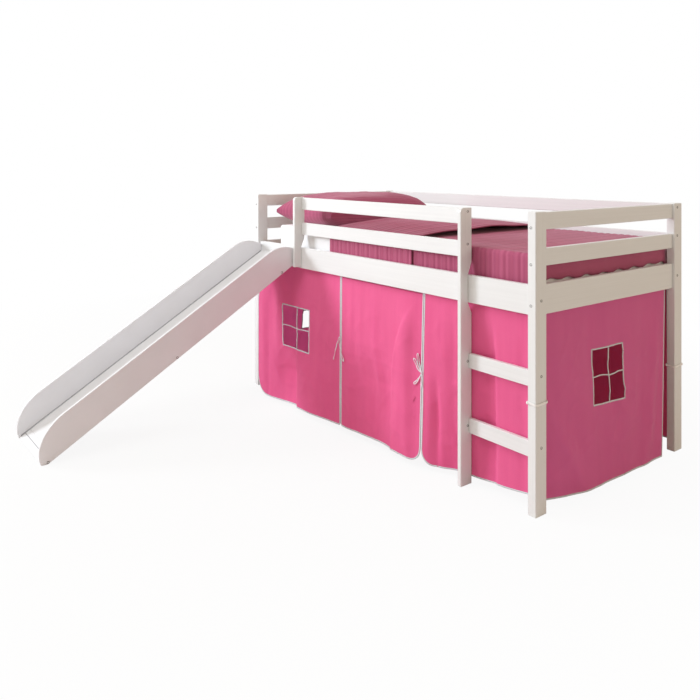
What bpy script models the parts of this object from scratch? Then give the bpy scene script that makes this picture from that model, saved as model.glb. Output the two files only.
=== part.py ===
"""Loft bed with a slide, a ladder and a cloth play tent under the sleeping deck.

Lengths are metres, +Z is up. X runs along the bed from the head to the foot, and Y
runs from the open front to the back. The origin is the middle of the front head
post's foot. Places are measured from that post's outer corner, and at() moves them
to the origin.
"""

import math

import bmesh
import bpy
from mathutils import Vector

MM = 0.001

# Posts
BED_LENGTH = 2000 * MM
BED_WIDTH = 1036 * MM
POST_HEIGHT = 1103 * MM
POST_WIDTH = 37 * MM
POST_DEPTH = 62 * MM
EDGE_ROUND = 2 * MM
GAP = 0.3 * MM

# Rails between the posts
RAIL_THICKNESS = 21 * MM
RAIL_SETBACK = 11 * MM
NARROW_HEIGHT = 64 * MM
WIDE_HEIGHT = 110 * MM
TOP_RAIL_DROP = 67 * MM
MID_RAIL_DROP = 200 * MM
WIDE_RAIL_DROP = 378 * MM

# Front guard and ladder
GUARD_THICKNESS = 18 * MM
UPRIGHT_THICKNESS = 19 * MM
UPRIGHT_REACH = 31 * MM
UPRIGHT_CORNER = 16 * MM
GUARD_UPRIGHT_X = 449 * MM
GUARD_FOOT_RISE = 8 * MM
LADDER_FOOT_SPACE = 357 * MM
NOTCH_RUN_UP = 50 * MM
NOTCH_RUN_DOWN = 42 * MM
RUNG_HEIGHT = 59 * MM
RUNG_LEVEL_SHARES = (0.283, 0.639)

# Slatted base
LEDGE_WIDTH = 20 * MM
LEDGE_HEIGHT = 28 * MM
LEDGE_RISE = 47 * MM
SLAT_THICKNESS = 16 * MM
SLAT_WIDTH = 70 * MM
SLAT_COUNT = 12
SLAT_MARGIN = 45 * MM

# Bedding
MATTRESS_START_X = 190 * MM
MATTRESS_FOOT_SPACE = 18 * MM
MATTRESS_SIDE_SPACE = 17 * MM
MATTRESS_THICKNESS = 148 * MM
MATTRESS_ROUND = 14 * MM
QUILT_THICKNESS = 6 * MM
QUILT_SHOULDER = 12 * MM
QUILT_START_X = 706 * MM
QUILT_SIDE_DROP = 132 * MM
QUILT_FOOT_DROP = 100 * MM
QUILT_FOOT_WAVE = 3 * MM
QUILT_WAVE_LENGTH = 140 * MM
FOLD_START_X = 690 * MM
FOLD_END_X = 1305 * MM
FOLD_CROWN = 42 * MM
FOLD_CLEARANCE = 1 * MM
SHOULDER_RING_SHARES = ((0.62, 0.22), (0.38, 0.78))
EDGE_REACH_SHARE = 0.25
CROWN_ACROSS_SHARE = 0.6
CROWN_ALONG_SHARE = 0.5
CROWN_EDGE_SHARE = 0.12
PILLOW_X = 365 * MM
PILLOW_FORWARD = 33 * MM
PILLOW_SIDE_SPACE = 123 * MM
PILLOW_DEPTH = 520 * MM
PILLOW_UNDER = 72 * MM
PILLOW_CROWN = 96 * MM
PILLOW_RIM = 7 * MM
PILLOW_DRAW_IN = 24 * MM
PILLOW_CORNER_SHARE = 4
PILLOW_FILL_SHARE = 0.5
PILLOW_FLAT_SHARE = 1.3

# Slide
SLIDE_X = 41 * MM
SLIDE_WIDTH = 401 * MM
SLIDE_BOARD = 16 * MM
SLIDE_SIDE_HEIGHT = 141 * MM
SLIDE_REACH = 1262.6 * MM
SLIDE_JOIN_RISE = 36 * MM
SLIDE_TOE_LENGTH = 187 * MM
SLIDE_TOE_OVERRUN = 24 * MM
SLIDE_CREST_RADIUS = 176 * MM
CREST_BACK_SHARE = 0.515
TOE_BAR_SHARE = 0.8
SLIDE_EDGE = 1 * MM
SLIDE_BED_THICKNESS = 5 * MM
SLIDE_BED_TOP = 18 * MM
CROSSBAR_WIDTH = 34 * MM
CROSSBAR_LIFT = 3 * MM
TOE_BAR_PLACE = 18 * MM
CROSSBAR_PLACE_SHARES = (0.468, 0.922)
SLIDE_LEDGER_DEPTH = 22 * MM
SLIDE_LEDGER_HEIGHT = 30 * MM

# Tent
CLOTH = 2.5 * MM
TENT_CLEARANCE = 0.6 * MM
HEADER_HEIGHT = 18 * MM
HEADER_KINK = 5 * MM
HEADER_LAP = 3 * MM
HEADER_EDGE = 0.3 * MM
FRONT_EDGE_HEAD = (-20 * MM, 176 * MM)
POST_SPACE = 1.5 * MM
SLIT_HEAD_SHARES = (0.3953, 0.4553)
SLIT_FOOT_SHARES = (0.693, 0.722)
FRONT_EDGE_SPACE = 47 * MM
SLIT_GAP = 3 * MM
FLARE_HEAD = 115 * MM
FLARE_SLIT_HEAD = 94 * MM
FLARE_SLIT_FOOT = 79 * MM
FLARE_END_SPACE = 43 * MM
HEM_HEAD_Z = 13 * MM
HEM_SLIT_HEAD_Z = 31 * MM
HEM_SLIT_FOOT_Z = 24 * MM
HEM_FOOT_Z = 58 * MM
HEM_FOOT_RISE_SHARE = 2.5
CORNER_HEAD = 105 * MM
CORNER_SLIT_HEAD = 12 * MM
CORNER_SLIT_FOOT = 60 * MM
HEM_EASE_Z = 280 * MM
FRONT_HANG_SHARE = 1.0
END_HANG_SHARE = 1.5
CORNER_STOP_SHARES = (0, 1 / 6, 1 / 2, 1)
COLUMN_PITCH = 42 * MM
MIN_COLUMNS = 6
PANEL_ROWS = 9
FOLD_DEPTH = 10 * MM
FRONT_FOLDS_SHARE = 2.5
END_FOLDS_SHARE = 3.0
BACK_FOLDS_SHARE = 8.0
END_COLUMNS = 16
BACK_COLUMNS = 36
END_PANEL_START = 74 * MM
END_PANEL_SPACE = (86 * MM, 231 * MM)
END_FLARE_FOOT = 66 * MM
END_FLARE_HEAD = 33 * MM
END_FLARE_RISE_SHARE = 2.6
BACK_FLARE = 30 * MM
END_HEM_Z = 30 * MM
DOOR_HINGE_DROP = 1.5 * MM
WINDOW_FRONT = (326 * MM, 419 * MM, 229 * MM, 204 * MM)
WINDOW_FOOT = (390 * MM, 398 * MM, 188 * MM, 209 * MM)
WINDOW_HEAD = (322 * MM, 442 * MM, 188 * MM, 212 * MM)
WINDOW_BAR = 9 * MM
ROW_SPACE = 30 * MM
STRAP_FRONT_SHARE = 0.563
STRAP_BACK_SHARE = 0.523
STRAP_THICKNESS = 7 * MM
STRAP_CORNER_STEPS = 3
BOW_DROPS = (347 * MM, 335 * MM)
BOW_REACH = 60 * MM
BOW_DEPTH = 3 * MM
BOW_STANDOFF = 0.7 * MM
BOW_HEAD_SHARES = (
    (-0.17, 0.95), (0.03, 0.95), (0.13, 0.07), (0.43, -0.37), (0.63, -0.73), (0.47, -0.92),
    (0.20, -0.73), (0.00, -0.13), (-0.10, 0.60), (-0.37, -0.13), (-0.67, -1.03), (-0.83, -0.97),
    (-0.53, 0.00), (-0.33, 0.67),
)
BOW_FOOT_SHARES = (
    (-0.03, -0.10), (0.07, -0.07), (0.07, 0.10), (-0.13, 0.57), (-0.27, 1.30), (-0.47, 1.27),
    (-0.43, 0.83), (-0.57, 0.97), (-0.77, 0.83), (-0.50, 0.40), (-0.17, 0.00), (-0.40, -0.53),
    (-0.70, -0.77), (-0.60, -0.97), (-0.37, -0.87), (-0.17, -0.50),
)

# Worked out from the sizes above
FRONT_INNER = RAIL_SETBACK + RAIL_THICKNESS
BACK_INNER = BED_WIDTH - FRONT_INNER
HEAD_INNER = RAIL_SETBACK + RAIL_THICKNESS
FOOT_INNER = BED_LENGTH - HEAD_INNER
GUARD_FRONT = FRONT_INNER - GUARD_THICKNESS
TOP_RAIL_Z = POST_HEIGHT - TOP_RAIL_DROP
MID_RAIL_Z = POST_HEIGHT - MID_RAIL_DROP
WIDE_RAIL_Z = POST_HEIGHT - WIDE_RAIL_DROP
LADDER_UPRIGHT_X = BED_LENGTH - LADDER_FOOT_SPACE
LEDGE_TOP_Z = WIDE_RAIL_Z + LEDGE_RISE
SLAT_TOP_Z = LEDGE_TOP_Z + GAP + SLAT_THICKNESS
MATTRESS_TOP_Z = SLAT_TOP_Z + GAP + MATTRESS_THICKNESS
SLIDE_JOIN_Z = WIDE_RAIL_Z + SLIDE_JOIN_RISE
SLIDE_ANGLE = math.atan2(SLIDE_JOIN_Z, SLIDE_REACH + RAIL_SETBACK)
SLIDE_RUN = math.hypot(SLIDE_JOIN_Z, SLIDE_REACH + RAIL_SETBACK)
TENT_TOP_Z = WIDE_RAIL_Z + HEADER_HEIGHT
TENT_KINK_Z = WIDE_RAIL_Z - HEADER_KINK
CLOTH_SEAT = TENT_CLEARANCE + CLOTH / 2
SLIT_HEAD = tuple(BED_LENGTH * share for share in SLIT_HEAD_SHARES)
SLIT_FOOT = tuple(BED_LENGTH * share for share in SLIT_FOOT_SHARES)
MATTRESS_LENGTH = FOOT_INNER - MATTRESS_FOOT_SPACE - MATTRESS_START_X
MATTRESS_WIDTH = BACK_INNER - FRONT_INNER - 2 * MATTRESS_SIDE_SPACE
PILLOW_Y = BED_WIDTH / 2 - PILLOW_FORWARD
PILLOW_LENGTH = BED_WIDTH - 2 * PILLOW_SIDE_SPACE
FRONT_EDGE_FOOT = BED_LENGTH - FRONT_EDGE_SPACE
FLARE_END_X = LADDER_UPRIGHT_X - FLARE_END_SPACE
END_PANEL_STOP = tuple(BED_WIDTH - space for space in END_PANEL_SPACE)

for leftover in list(bpy.data.objects):
    bpy.data.objects.remove(leftover, do_unlink=True)


def at(x, y, z):
    """A point given from the front head post's outer corner, moved to the origin."""
    return Vector((x - POST_WIDTH / 2, y - POST_DEPTH / 2, z))


def paint(name, colour, roughness, metallic=0.0):
    """A material with one colour (linear RGB), a roughness and a metallic value."""
    material = bpy.data.materials.new(name)
    material.use_nodes = True
    shader = material.node_tree.nodes["Principled BSDF"]
    shader.inputs["Base Color"].default_value = (*colour, 1.0)
    shader.inputs["Roughness"].default_value = roughness
    shader.inputs["Metallic"].default_value = metallic
    return material


WHITE_PAINT = paint("white_painted_pine", (0.88, 0.86, 0.83), 0.35)
BASE_WOOD = paint("pale_bare_pine", (0.72, 0.55, 0.36), 0.6)
SLIDE_PAINT = paint("white_slide_laminate", (0.86, 0.84, 0.82), 0.25)
TENT_PINK = paint("pink_tent_cotton", (0.88, 0.12, 0.31), 0.85)
TAPE_WHITE = paint("white_binding_tape", (0.66, 0.68, 0.70), 0.8)
SHEET_WHITE = paint("white_sheet_cotton", (0.85, 0.85, 0.86), 0.85)
QUILT_ROSE = paint("rose_quilted_cotton", (0.46, 0.12, 0.20), 0.85)

bed = bpy.data.objects.new("bed_frame", None)
bpy.context.scene.collection.objects.link(bed)


def add_object(name, mesh, material, place, parent=None):
    """One named object with its material, standing at its place."""
    mesh.materials.append(material)
    piece = bpy.data.objects.new(name, mesh)
    bpy.context.scene.collection.objects.link(piece)
    piece.parent = parent or bed
    piece.location = place
    return piece


def mesh_from(name, bm, smooth=False):
    """The finished mesh of a bmesh, with its faces pointing out."""
    bmesh.ops.recalc_face_normals(bm, faces=bm.faces)
    mesh = bpy.data.meshes.new(name)
    bm.to_mesh(mesh)
    bm.free()
    if smooth:
        mesh.shade_smooth()
    return mesh


def add_bevel(piece, width, segments=1):
    """Rounds the sharp edges of a piece."""
    bevel = piece.modifiers.new("edges", "BEVEL")
    bevel.width = width
    bevel.segments = segments
    bevel.limit_method = "ANGLE"


def board(name, low, high, material=WHITE_PAINT, edge=EDGE_ROUND, segments=1):
    """A straight board between two corners."""
    low, high = at(*low), at(*high)
    bm = bmesh.new()
    bmesh.ops.create_cube(bm, size=1.0)
    bmesh.ops.scale(bm, verts=bm.verts, vec=high - low)
    piece = add_object(name, mesh_from(name, bm), material, (low + high) / 2)
    add_bevel(piece, edge, segments)
    return piece


def profile_board(name, outline, start_x, thickness, material, edge=EDGE_ROUND):
    """A board cut to an outline in Y and Z, standing across the X axis."""
    bm = bmesh.new()
    corners = [bm.verts.new(at(start_x, y, z)) for y, z in outline]
    face = bm.faces.new(corners)
    grown = bmesh.ops.extrude_face_region(bm, geom=[face])
    moved = [part for part in grown["geom"] if isinstance(part, bmesh.types.BMVert)]
    bmesh.ops.translate(bm, verts=moved, vec=(thickness, 0, 0))
    piece = add_object(name, mesh_from(name, bm), material, (0, 0, 0))
    add_bevel(piece, edge)
    return piece


def add_posts():
    """Four posts, each set at a corner of the bed."""
    for side, y in (("front", 0), ("back", BED_WIDTH - POST_DEPTH)):
        for end, x in (("head", 0), ("foot", BED_LENGTH - POST_WIDTH)):
            low = (x, y, 0)
            high = (x + POST_WIDTH, y + POST_DEPTH, POST_HEIGHT)
            board(f"post_{side}_{end}", low, high)


def add_rails():
    """Side rails, end rails and the back guard, held between the posts."""
    side_start = POST_WIDTH + GAP
    side_end = BED_LENGTH - side_start
    wide_top = WIDE_RAIL_Z + WIDE_HEIGHT
    front, back = RAIL_SETBACK, BED_WIDTH - RAIL_SETBACK
    board("side_rail_front", (side_start, front, WIDE_RAIL_Z), (side_end, FRONT_INNER, wide_top))
    board("side_rail_back", (side_start, BACK_INNER, WIDE_RAIL_Z), (side_end, back, wide_top))
    levels = (
        ("top", TOP_RAIL_Z, NARROW_HEIGHT),
        ("middle", MID_RAIL_Z, NARROW_HEIGHT),
        ("wide", WIDE_RAIL_Z, WIDE_HEIGHT),
    )
    end_start = POST_DEPTH + GAP
    end_stop = BED_WIDTH - end_start
    ends = (("head", RAIL_SETBACK), ("foot", FOOT_INNER))
    for level, z, height in levels:
        for end, x in ends:
            low = (x, end_start, z)
            high = (x + RAIL_THICKNESS, end_stop, z + height)
            board(f"{end}_rail_{level}", low, high)
    for level, z, height in levels[:2]:
        board(f"back_guard_{level}", (side_start, BACK_INNER, z), (side_end, back, z + height))


def add_upright(name, x, foot_z):
    """An upright that stands in front of the side rail and is notched round it."""
    front = -UPRIGHT_REACH
    notch = RAIL_SETBACK - GAP
    top = POST_HEIGHT
    rail_top = WIDE_RAIL_Z + WIDE_HEIGHT + GAP
    outline = [(front, foot_z), (front, top - UPRIGHT_CORNER)]
    middle_y, middle_z = front + UPRIGHT_CORNER, top - UPRIGHT_CORNER
    steps = 4
    for step in range(1, steps + 1):
        turn = math.pi / 2 * step / steps
        y = middle_y - UPRIGHT_CORNER * math.cos(turn)
        z = middle_z + UPRIGHT_CORNER * math.sin(turn)
        outline.append((y, z))
    outline += [(FRONT_INNER, top), (FRONT_INNER, rail_top + NOTCH_RUN_UP), (notch, rail_top)]
    if foot_z < WIDE_RAIL_Z - NOTCH_RUN_DOWN:
        rail_foot = WIDE_RAIL_Z - GAP
        outline += [(notch, rail_foot), (FRONT_INNER, rail_foot - NOTCH_RUN_DOWN)]
        outline.append((FRONT_INNER, foot_z))
    else:
        outline.append((notch, foot_z))
    profile_board(name, outline, x, UPRIGHT_THICKNESS, WHITE_PAINT)


def add_guard_and_ladder():
    """Two uprights, the guard rails between them and the ladder's rungs."""
    add_upright("guard_upright", GUARD_UPRIGHT_X, WIDE_RAIL_Z + GUARD_FOOT_RISE)
    add_upright("ladder_upright", LADDER_UPRIGHT_X, 0)
    start = GUARD_UPRIGHT_X + UPRIGHT_THICKNESS + GAP
    end = LADDER_UPRIGHT_X - GAP
    for level, z in (("top", TOP_RAIL_Z), ("middle", MID_RAIL_Z)):
        board(f"guard_rail_{level}", (start, GUARD_FRONT, z), (end, FRONT_INNER, z + NARROW_HEIGHT))
    start = LADDER_UPRIGHT_X + UPRIGHT_THICKNESS + GAP
    end = BED_LENGTH - POST_WIDTH - GAP
    for number, share in enumerate(RUNG_LEVEL_SHARES, 1):
        z = WIDE_RAIL_Z * share
        board(f"ladder_rung_{number}", (start, GUARD_FRONT, z), (end, FRONT_INNER, z + RUNG_HEIGHT))


def add_base():
    """A ledge inside each side rail and the slats that lie across them."""
    start, end = POST_WIDTH + GAP, BED_LENGTH - POST_WIDTH - GAP
    foot_z = LEDGE_TOP_Z - LEDGE_HEIGHT
    near, far = FRONT_INNER + GAP, BACK_INNER - GAP
    front_high = (end, near + LEDGE_WIDTH, LEDGE_TOP_Z)
    board("slat_ledge_front", (start, near, foot_z), front_high, BASE_WOOD)
    back_low = (start, far - LEDGE_WIDTH, foot_z)
    board("slat_ledge_back", back_low, (end, far, LEDGE_TOP_Z), BASE_WOOD)
    first = HEAD_INNER + SLAT_MARGIN
    pitch = (FOOT_INNER - SLAT_MARGIN - SLAT_WIDTH - first) / (SLAT_COUNT - 1)
    low_z = LEDGE_TOP_Z + GAP
    for number in range(SLAT_COUNT):
        x = first + number * pitch
        low = (x, near, low_z)
        high = (x + SLAT_WIDTH, far, low_z + SLAT_THICKNESS)
        board(f"slat_{number + 1:02d}", low, high, BASE_WOOD)


def along_slide(run, rise):
    """A place on the slide, by its run up the slope and its rise square to it."""
    y = -SLIDE_REACH + run * math.cos(SLIDE_ANGLE) - rise * math.sin(SLIDE_ANGLE)
    z = run * math.sin(SLIDE_ANGLE) + rise * math.cos(SLIDE_ANGLE)
    return y, z


def slide_side_outline():
    """The slide's side board: a rounded toe, a straight flight and a rounded crest."""
    join_y = RAIL_SETBACK - GAP
    outline = [(join_y, (join_y + SLIDE_REACH) * math.tan(SLIDE_ANGLE)), along_slide(0, 0)]
    toe_steps = 14
    centre = SLIDE_TOE_LENGTH - SLIDE_TOE_OVERRUN
    floor_rise = SLIDE_TOE_OVERRUN * math.tan(SLIDE_ANGLE)
    start_turn = math.asin(floor_rise / SLIDE_SIDE_HEIGHT)
    for step in range(toe_steps + 1):
        turn = start_turn + (math.pi / 2 - start_turn) * step / toe_steps
        run = centre - SLIDE_TOE_LENGTH * math.cos(turn)
        y, z = along_slide(run, SLIDE_SIDE_HEIGHT * math.sin(turn))
        outline.append((y, max(z, 0)))
    crest_y = join_y - SLIDE_CREST_RADIUS * CREST_BACK_SHARE
    start_y = crest_y - SLIDE_CREST_RADIUS * math.sin(SLIDE_ANGLE)
    slope_z = (start_y + SLIDE_REACH) * math.tan(SLIDE_ANGLE)
    start_z = slope_z + SLIDE_SIDE_HEIGHT / math.cos(SLIDE_ANGLE)
    middle_z = start_z - SLIDE_CREST_RADIUS * math.cos(SLIDE_ANGLE)
    crest_steps = 10
    last_turn = math.asin(CREST_BACK_SHARE)
    for step in range(crest_steps + 1):
        turn = -SLIDE_ANGLE + (SLIDE_ANGLE + last_turn) * step / crest_steps
        y = crest_y + SLIDE_CREST_RADIUS * math.sin(turn)
        outline.append((y, middle_z + SLIDE_CREST_RADIUS * math.cos(turn)))
    return outline


def between_sides(name, outline):
    """A piece held between the slide's two side boards, cut to an outline."""
    inner_x = SLIDE_X + SLIDE_BOARD + GAP
    width = SLIDE_WIDTH - 2 * (SLIDE_BOARD + GAP)
    profile_board(name, outline, inner_x, width, SLIDE_PAINT, SLIDE_EDGE)


def add_slide():
    """Two side boards, the sliding surface, its crossbars and the ledger at its top."""
    outline = slide_side_outline()
    profile_board("slide_side_head", outline, SLIDE_X, SLIDE_BOARD, SLIDE_PAINT)
    far_x = SLIDE_X + SLIDE_WIDTH - SLIDE_BOARD
    profile_board("slide_side_foot", outline, far_x, SLIDE_BOARD, SLIDE_PAINT)
    toe = TOE_BAR_PLACE + CROSSBAR_WIDTH / 2
    bed_low = SLIDE_BED_TOP - SLIDE_BED_THICKNESS
    join_y = RAIL_SETBACK - GAP
    top_run = (join_y + SLIDE_REACH + bed_low * math.sin(SLIDE_ANGLE)) / math.cos(SLIDE_ANGLE)
    high_run = top_run + SLIDE_BED_THICKNESS * math.tan(SLIDE_ANGLE)
    start = toe + GAP
    corners = [along_slide(start, bed_low), along_slide(top_run, bed_low)]
    corners += [along_slide(high_run, SLIDE_BED_TOP), along_slide(start, SLIDE_BED_TOP)]
    between_sides("slide_bed", corners)
    bar_top = bed_low - GAP
    toe_start = -SLIDE_TOE_OVERRUN * TOE_BAR_SHARE
    lift_run = CROSSBAR_LIFT / math.tan(SLIDE_ANGLE)
    toe_bar = [
        (-SLIDE_REACH - SLIDE_TOE_OVERRUN * TOE_BAR_SHARE, 0),
        (-SLIDE_REACH, 0),
        along_slide(lift_run, CROSSBAR_LIFT),
        along_slide(toe, CROSSBAR_LIFT),
        along_slide(toe, SLIDE_BED_TOP),
        along_slide(toe_start, SLIDE_BED_TOP),
    ]
    between_sides("slide_crossbar_1", toe_bar)
    for number, share in enumerate(CROSSBAR_PLACE_SHARES, 2):
        middle = SLIDE_RUN * share
        low, high = middle - CROSSBAR_WIDTH / 2, middle + CROSSBAR_WIDTH / 2
        bar = [along_slide(low, CROSSBAR_LIFT), along_slide(high, CROSSBAR_LIFT)]
        bar += [along_slide(high, bar_top), along_slide(low, bar_top)]
        between_sides(f"slide_crossbar_{number}", bar)
    ledger_y = join_y - SLIDE_LEDGER_DEPTH
    slope_at_ledger = (ledger_y + SLIDE_REACH) * math.tan(SLIDE_ANGLE)
    slope_at_rail = (join_y + SLIDE_REACH) * math.tan(SLIDE_ANGLE)
    under_bed = (bed_low - GAP) / math.cos(SLIDE_ANGLE)
    foot_z = slope_at_ledger + under_bed - SLIDE_LEDGER_HEIGHT
    ledger = [
        (ledger_y, foot_z),
        (join_y, foot_z),
        (join_y, slope_at_rail + under_bed),
        (ledger_y, slope_at_ledger + under_bed),
    ]
    between_sides("slide_ledger", ledger)


def evenly(start, stop, count):
    """Evenly spaced values from start to stop, both included."""
    return [start + (stop - start) * step / count for step in range(count + 1)]


def cloth_panel(name, columns, rows, place, is_hole, parent=None):
    """A hanging cloth: a grid placed point by point, with its window holes left out."""
    bm = bmesh.new()
    across, down = len(columns) - 1, len(rows) - 1
    bmesh.ops.create_grid(bm, x_segments=across, y_segments=down, size=1.0)
    spots = {}
    for vert in bm.verts:
        i = round((vert.co.x + 1) / 2 * across)
        j = round((1 - vert.co.y) / 2 * down)
        spots[vert] = (columns[i], rows[j])
    holes = []
    for face in bm.faces:
        u = sum(spots[vert][0] for vert in face.verts) / len(face.verts)
        v = sum(spots[vert][1] for vert in face.verts) / len(face.verts)
        if is_hole(u, v):
            holes.append(face)
    bmesh.ops.delete(bm, geom=holes, context="FACES")
    base = parent.location if parent else Vector((0, 0, 0))
    for vert in bm.verts:
        vert.co = place(*spots[vert]) - base
    piece = add_object(name, mesh_from(name, bm, True), TENT_PINK, (0, 0, 0), parent)
    wall = piece.modifiers.new("thickness", "SOLIDIFY")
    wall.thickness = CLOTH
    wall.offset = 0
    wall.use_even_offset = True


def hang(z, power=FRONT_HANG_SHARE):
    """How far down the free part of the tent cloth a height is, eased from its kink."""
    if z >= TENT_KINK_Z:
        return 0
    return ((TENT_KINK_Z - z) / TENT_KINK_Z) ** power


def corner_lift(distance, radius):
    """How far a rounded lower corner of the cloth rises, near its edge."""
    if distance >= radius:
        return 0
    share = 1 - distance / radius
    return radius * (1 - math.sqrt(1 - share * share))


def window_stops(start, width, bar):
    """The edges of a window's two rows or columns of panes."""
    pane = (width - bar) / 2
    return [start, start + pane, start + pane + bar, start + width]


def in_panes(value, stops):
    """Whether a place lies in one of a window's two rows or columns of panes."""
    return stops[0] < value < stops[1] or stops[2] < value < stops[3]


def panel_rows(stops=()):
    """The heights of a panel's grid rows, with a window's edges among them."""
    even = evenly(TENT_KINK_Z, 0, PANEL_ROWS)
    free = [z for z in even if all(abs(z - stop) > ROW_SPACE for stop in stops)]
    return sorted([TENT_TOP_Z] + free + list(stops), reverse=True)


def lower(z, hem_z):
    """A grid height moved so that the lowest row lies on the hem."""
    if z >= HEM_EASE_Z:
        return z
    return hem_z + (HEM_EASE_Z - hem_z) * z / HEM_EASE_Z


def front_panel(edges, flares, hems, corners, window=None, top_z=None):
    """The grid of a panel of the tent's front, flared forward at its hem."""
    left, right = edges
    width = right[1] - left[1]
    first_corner, last_corner = corners[0] / width, corners[1] / width
    shares = set(evenly(0, 1, max(MIN_COLUMNS, round(width / COLUMN_PITCH))))
    if first_corner:
        shares = {s for s in shares if s > first_corner}
        shares |= {first_corner * stop for stop in CORNER_STOP_SHARES}
    if last_corner:
        shares = {s for s in shares if s < 1 - last_corner}
        shares |= {1 - last_corner * stop for stop in CORNER_STOP_SHARES}
    pane_z = pane_u = ()
    if window:
        start_x, fall, window_width, window_height = window
        start_z = WIDE_RAIL_Z - fall
        pane_z = window_stops(start_z, window_height, WINDOW_BAR)
        middle_hang = hang(start_z + window_height / 2)
        first = left[0] + (left[1] - left[0]) * middle_hang
        middle_width = right[0] + (right[1] - right[0]) * middle_hang - first
        pane_x = window_stops(start_x, window_width, WINDOW_BAR)
        pane_u = [(x - first) / middle_width for x in pane_x]
        near = ROW_SPACE / width
        shares = {s for s in shares if all(abs(s - stop) > near for stop in pane_u)}
        shares |= set(pane_u)
    rows = panel_rows(pane_z)
    if top_z is not None:
        rows = [top_z] + [z for z in rows if z < TENT_KINK_Z - HEADER_KINK]

    def place(share, z):
        lift = 0
        if corners[0]:
            lift = max(lift, corner_lift(share * width, corners[0]))
        if corners[1]:
            lift = max(lift, corner_lift((1 - share) * width, corners[1]))
        rise = share if corners[1] else share ** HEM_FOOT_RISE_SHARE
        hem_z = hems[0] + (hems[1] - hems[0]) * rise + lift
        z = lower(z, hem_z)
        down = hang(z)
        x_left = max(left[0] + (left[1] - left[0]) * down, POST_WIDTH + POST_SPACE)
        x_right = right[0] + (right[1] - right[0]) * down
        x = x_left + (x_right - x_left) * share
        flare = flares[0] + (flares[1] - flares[0]) * share
        wave = math.sin(2 * math.pi * FRONT_FOLDS_SHARE * share)
        if flares[1] == 0:
            rest = min(1, max(0, x - x_left) / (FLARE_END_X - x_left))
            flare = flares[0] * (1 - rest * rest * (3 - 2 * rest))
            wave = abs(wave)
        ripple = FOLD_DEPTH * down * wave * math.sin(math.pi * share)
        y = FRONT_INNER + CLOTH_SEAT - flare * down + ripple
        return at(x, y, z)

    def is_hole(share, z):
        return bool(window) and in_panes(share, pane_u) and in_panes(z, pane_z)

    return sorted(shares), rows, place, is_hole


def shifted(edge, amount):
    """An edge of a panel, moved along the bed."""
    return (edge[0] + amount, edge[1] + amount)


def add_tent_front():
    """The two fixed front panels, the door between them and the door's header."""
    half = SLIT_GAP / 2
    head = front_panel(
        (FRONT_EDGE_HEAD, shifted(SLIT_HEAD, -half)), (FLARE_HEAD, FLARE_SLIT_HEAD),
        (HEM_HEAD_Z, HEM_SLIT_HEAD_Z), (CORNER_HEAD, CORNER_SLIT_HEAD), WINDOW_FRONT)
    cloth_panel("tent_front_head", *head)
    foot = front_panel(
        (shifted(SLIT_FOOT, half), (FRONT_EDGE_FOOT, FRONT_EDGE_FOOT)), (FLARE_SLIT_FOOT, 0),
        (HEM_SLIT_FOOT_Z, HEM_FOOT_Z), (CORNER_SLIT_FOOT, 0))
    cloth_panel("tent_front_foot", *foot)
    hinge_z = TENT_KINK_Z - DOOR_HINGE_DROP
    hinge_x = (SLIT_HEAD[0] + SLIT_FOOT[0]) / 2
    axis = bpy.data.objects.new("door_hinge", None)
    bpy.context.scene.collection.objects.link(axis)
    axis.parent = bed
    axis.location = at(hinge_x, FRONT_INNER + CLOTH_SEAT, hinge_z)
    door = front_panel(
        (shifted(SLIT_HEAD, half), shifted(SLIT_FOOT, -half)),
        (FLARE_SLIT_HEAD, FLARE_SLIT_FOOT), (HEM_SLIT_HEAD_Z, HEM_SLIT_FOOT_Z),
        (CORNER_SLIT_HEAD, CORNER_SLIT_FOOT), None, hinge_z)
    cloth_panel("tent_door", *door, axis)
    step_z, lap_z = hinge_z + CLOTH, hinge_z - HEADER_LAP
    face_y = FRONT_INNER + TENT_CLEARANCE
    lap_y = face_y + CLOTH + GAP
    back_y = lap_y + CLOTH
    outline = [(face_y, step_z), (face_y, TENT_TOP_Z), (back_y, TENT_TOP_Z)]
    outline += [(back_y, lap_z), (lap_y, lap_z), (lap_y, step_z)]
    start, length = SLIT_HEAD[0] + half, SLIT_FOOT[0] - SLIT_HEAD[0] - SLIT_GAP
    profile_board("tent_door_header", outline, start, length, TENT_PINK, HEADER_EDGE)
    return axis


def add_end_panel(name, top_x, outward, flare, window):
    """A panel with a window across one end of the tent, flared outward at its hem."""
    start_y, fall, window_width, window_height = window
    start_z = WIDE_RAIL_Z - fall
    pane_z = window_stops(start_z, window_height, WINDOW_BAR)
    pane_y = window_stops(start_y, window_width, WINDOW_BAR)
    top_stop, hem_stop = END_PANEL_STOP
    middle = hang(start_z + window_height / 2, END_HANG_SHARE)
    middle_width = top_stop + (hem_stop - top_stop) * middle - END_PANEL_START
    pane_s = [(y - END_PANEL_START) / middle_width for y in pane_y]
    near = ROW_SPACE / (top_stop - END_PANEL_START)
    shares = evenly(0, 1, END_COLUMNS)
    shares = [s for s in shares if all(abs(s - p) > near for p in pane_s)] + pane_s

    def place(share, z):
        z = lower(z, END_HEM_Z)
        down = hang(z, END_HANG_SHARE)
        width = top_stop + (hem_stop - top_stop) * down - END_PANEL_START
        y = END_PANEL_START + width * share
        reach = flare * math.sin(math.pi / 2 * min(1, share * END_FLARE_RISE_SHARE))
        wave = math.sin(2 * math.pi * END_FOLDS_SHARE * share)
        ripple = FOLD_DEPTH * down * wave * math.sin(math.pi * share)
        return at(top_x + outward * (reach * down + ripple), y, z)

    def is_hole(share, z):
        return in_panes(share, pane_s) and in_panes(z, pane_z)

    cloth_panel(name, sorted(shares), panel_rows(pane_z), place, is_hole)


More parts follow.
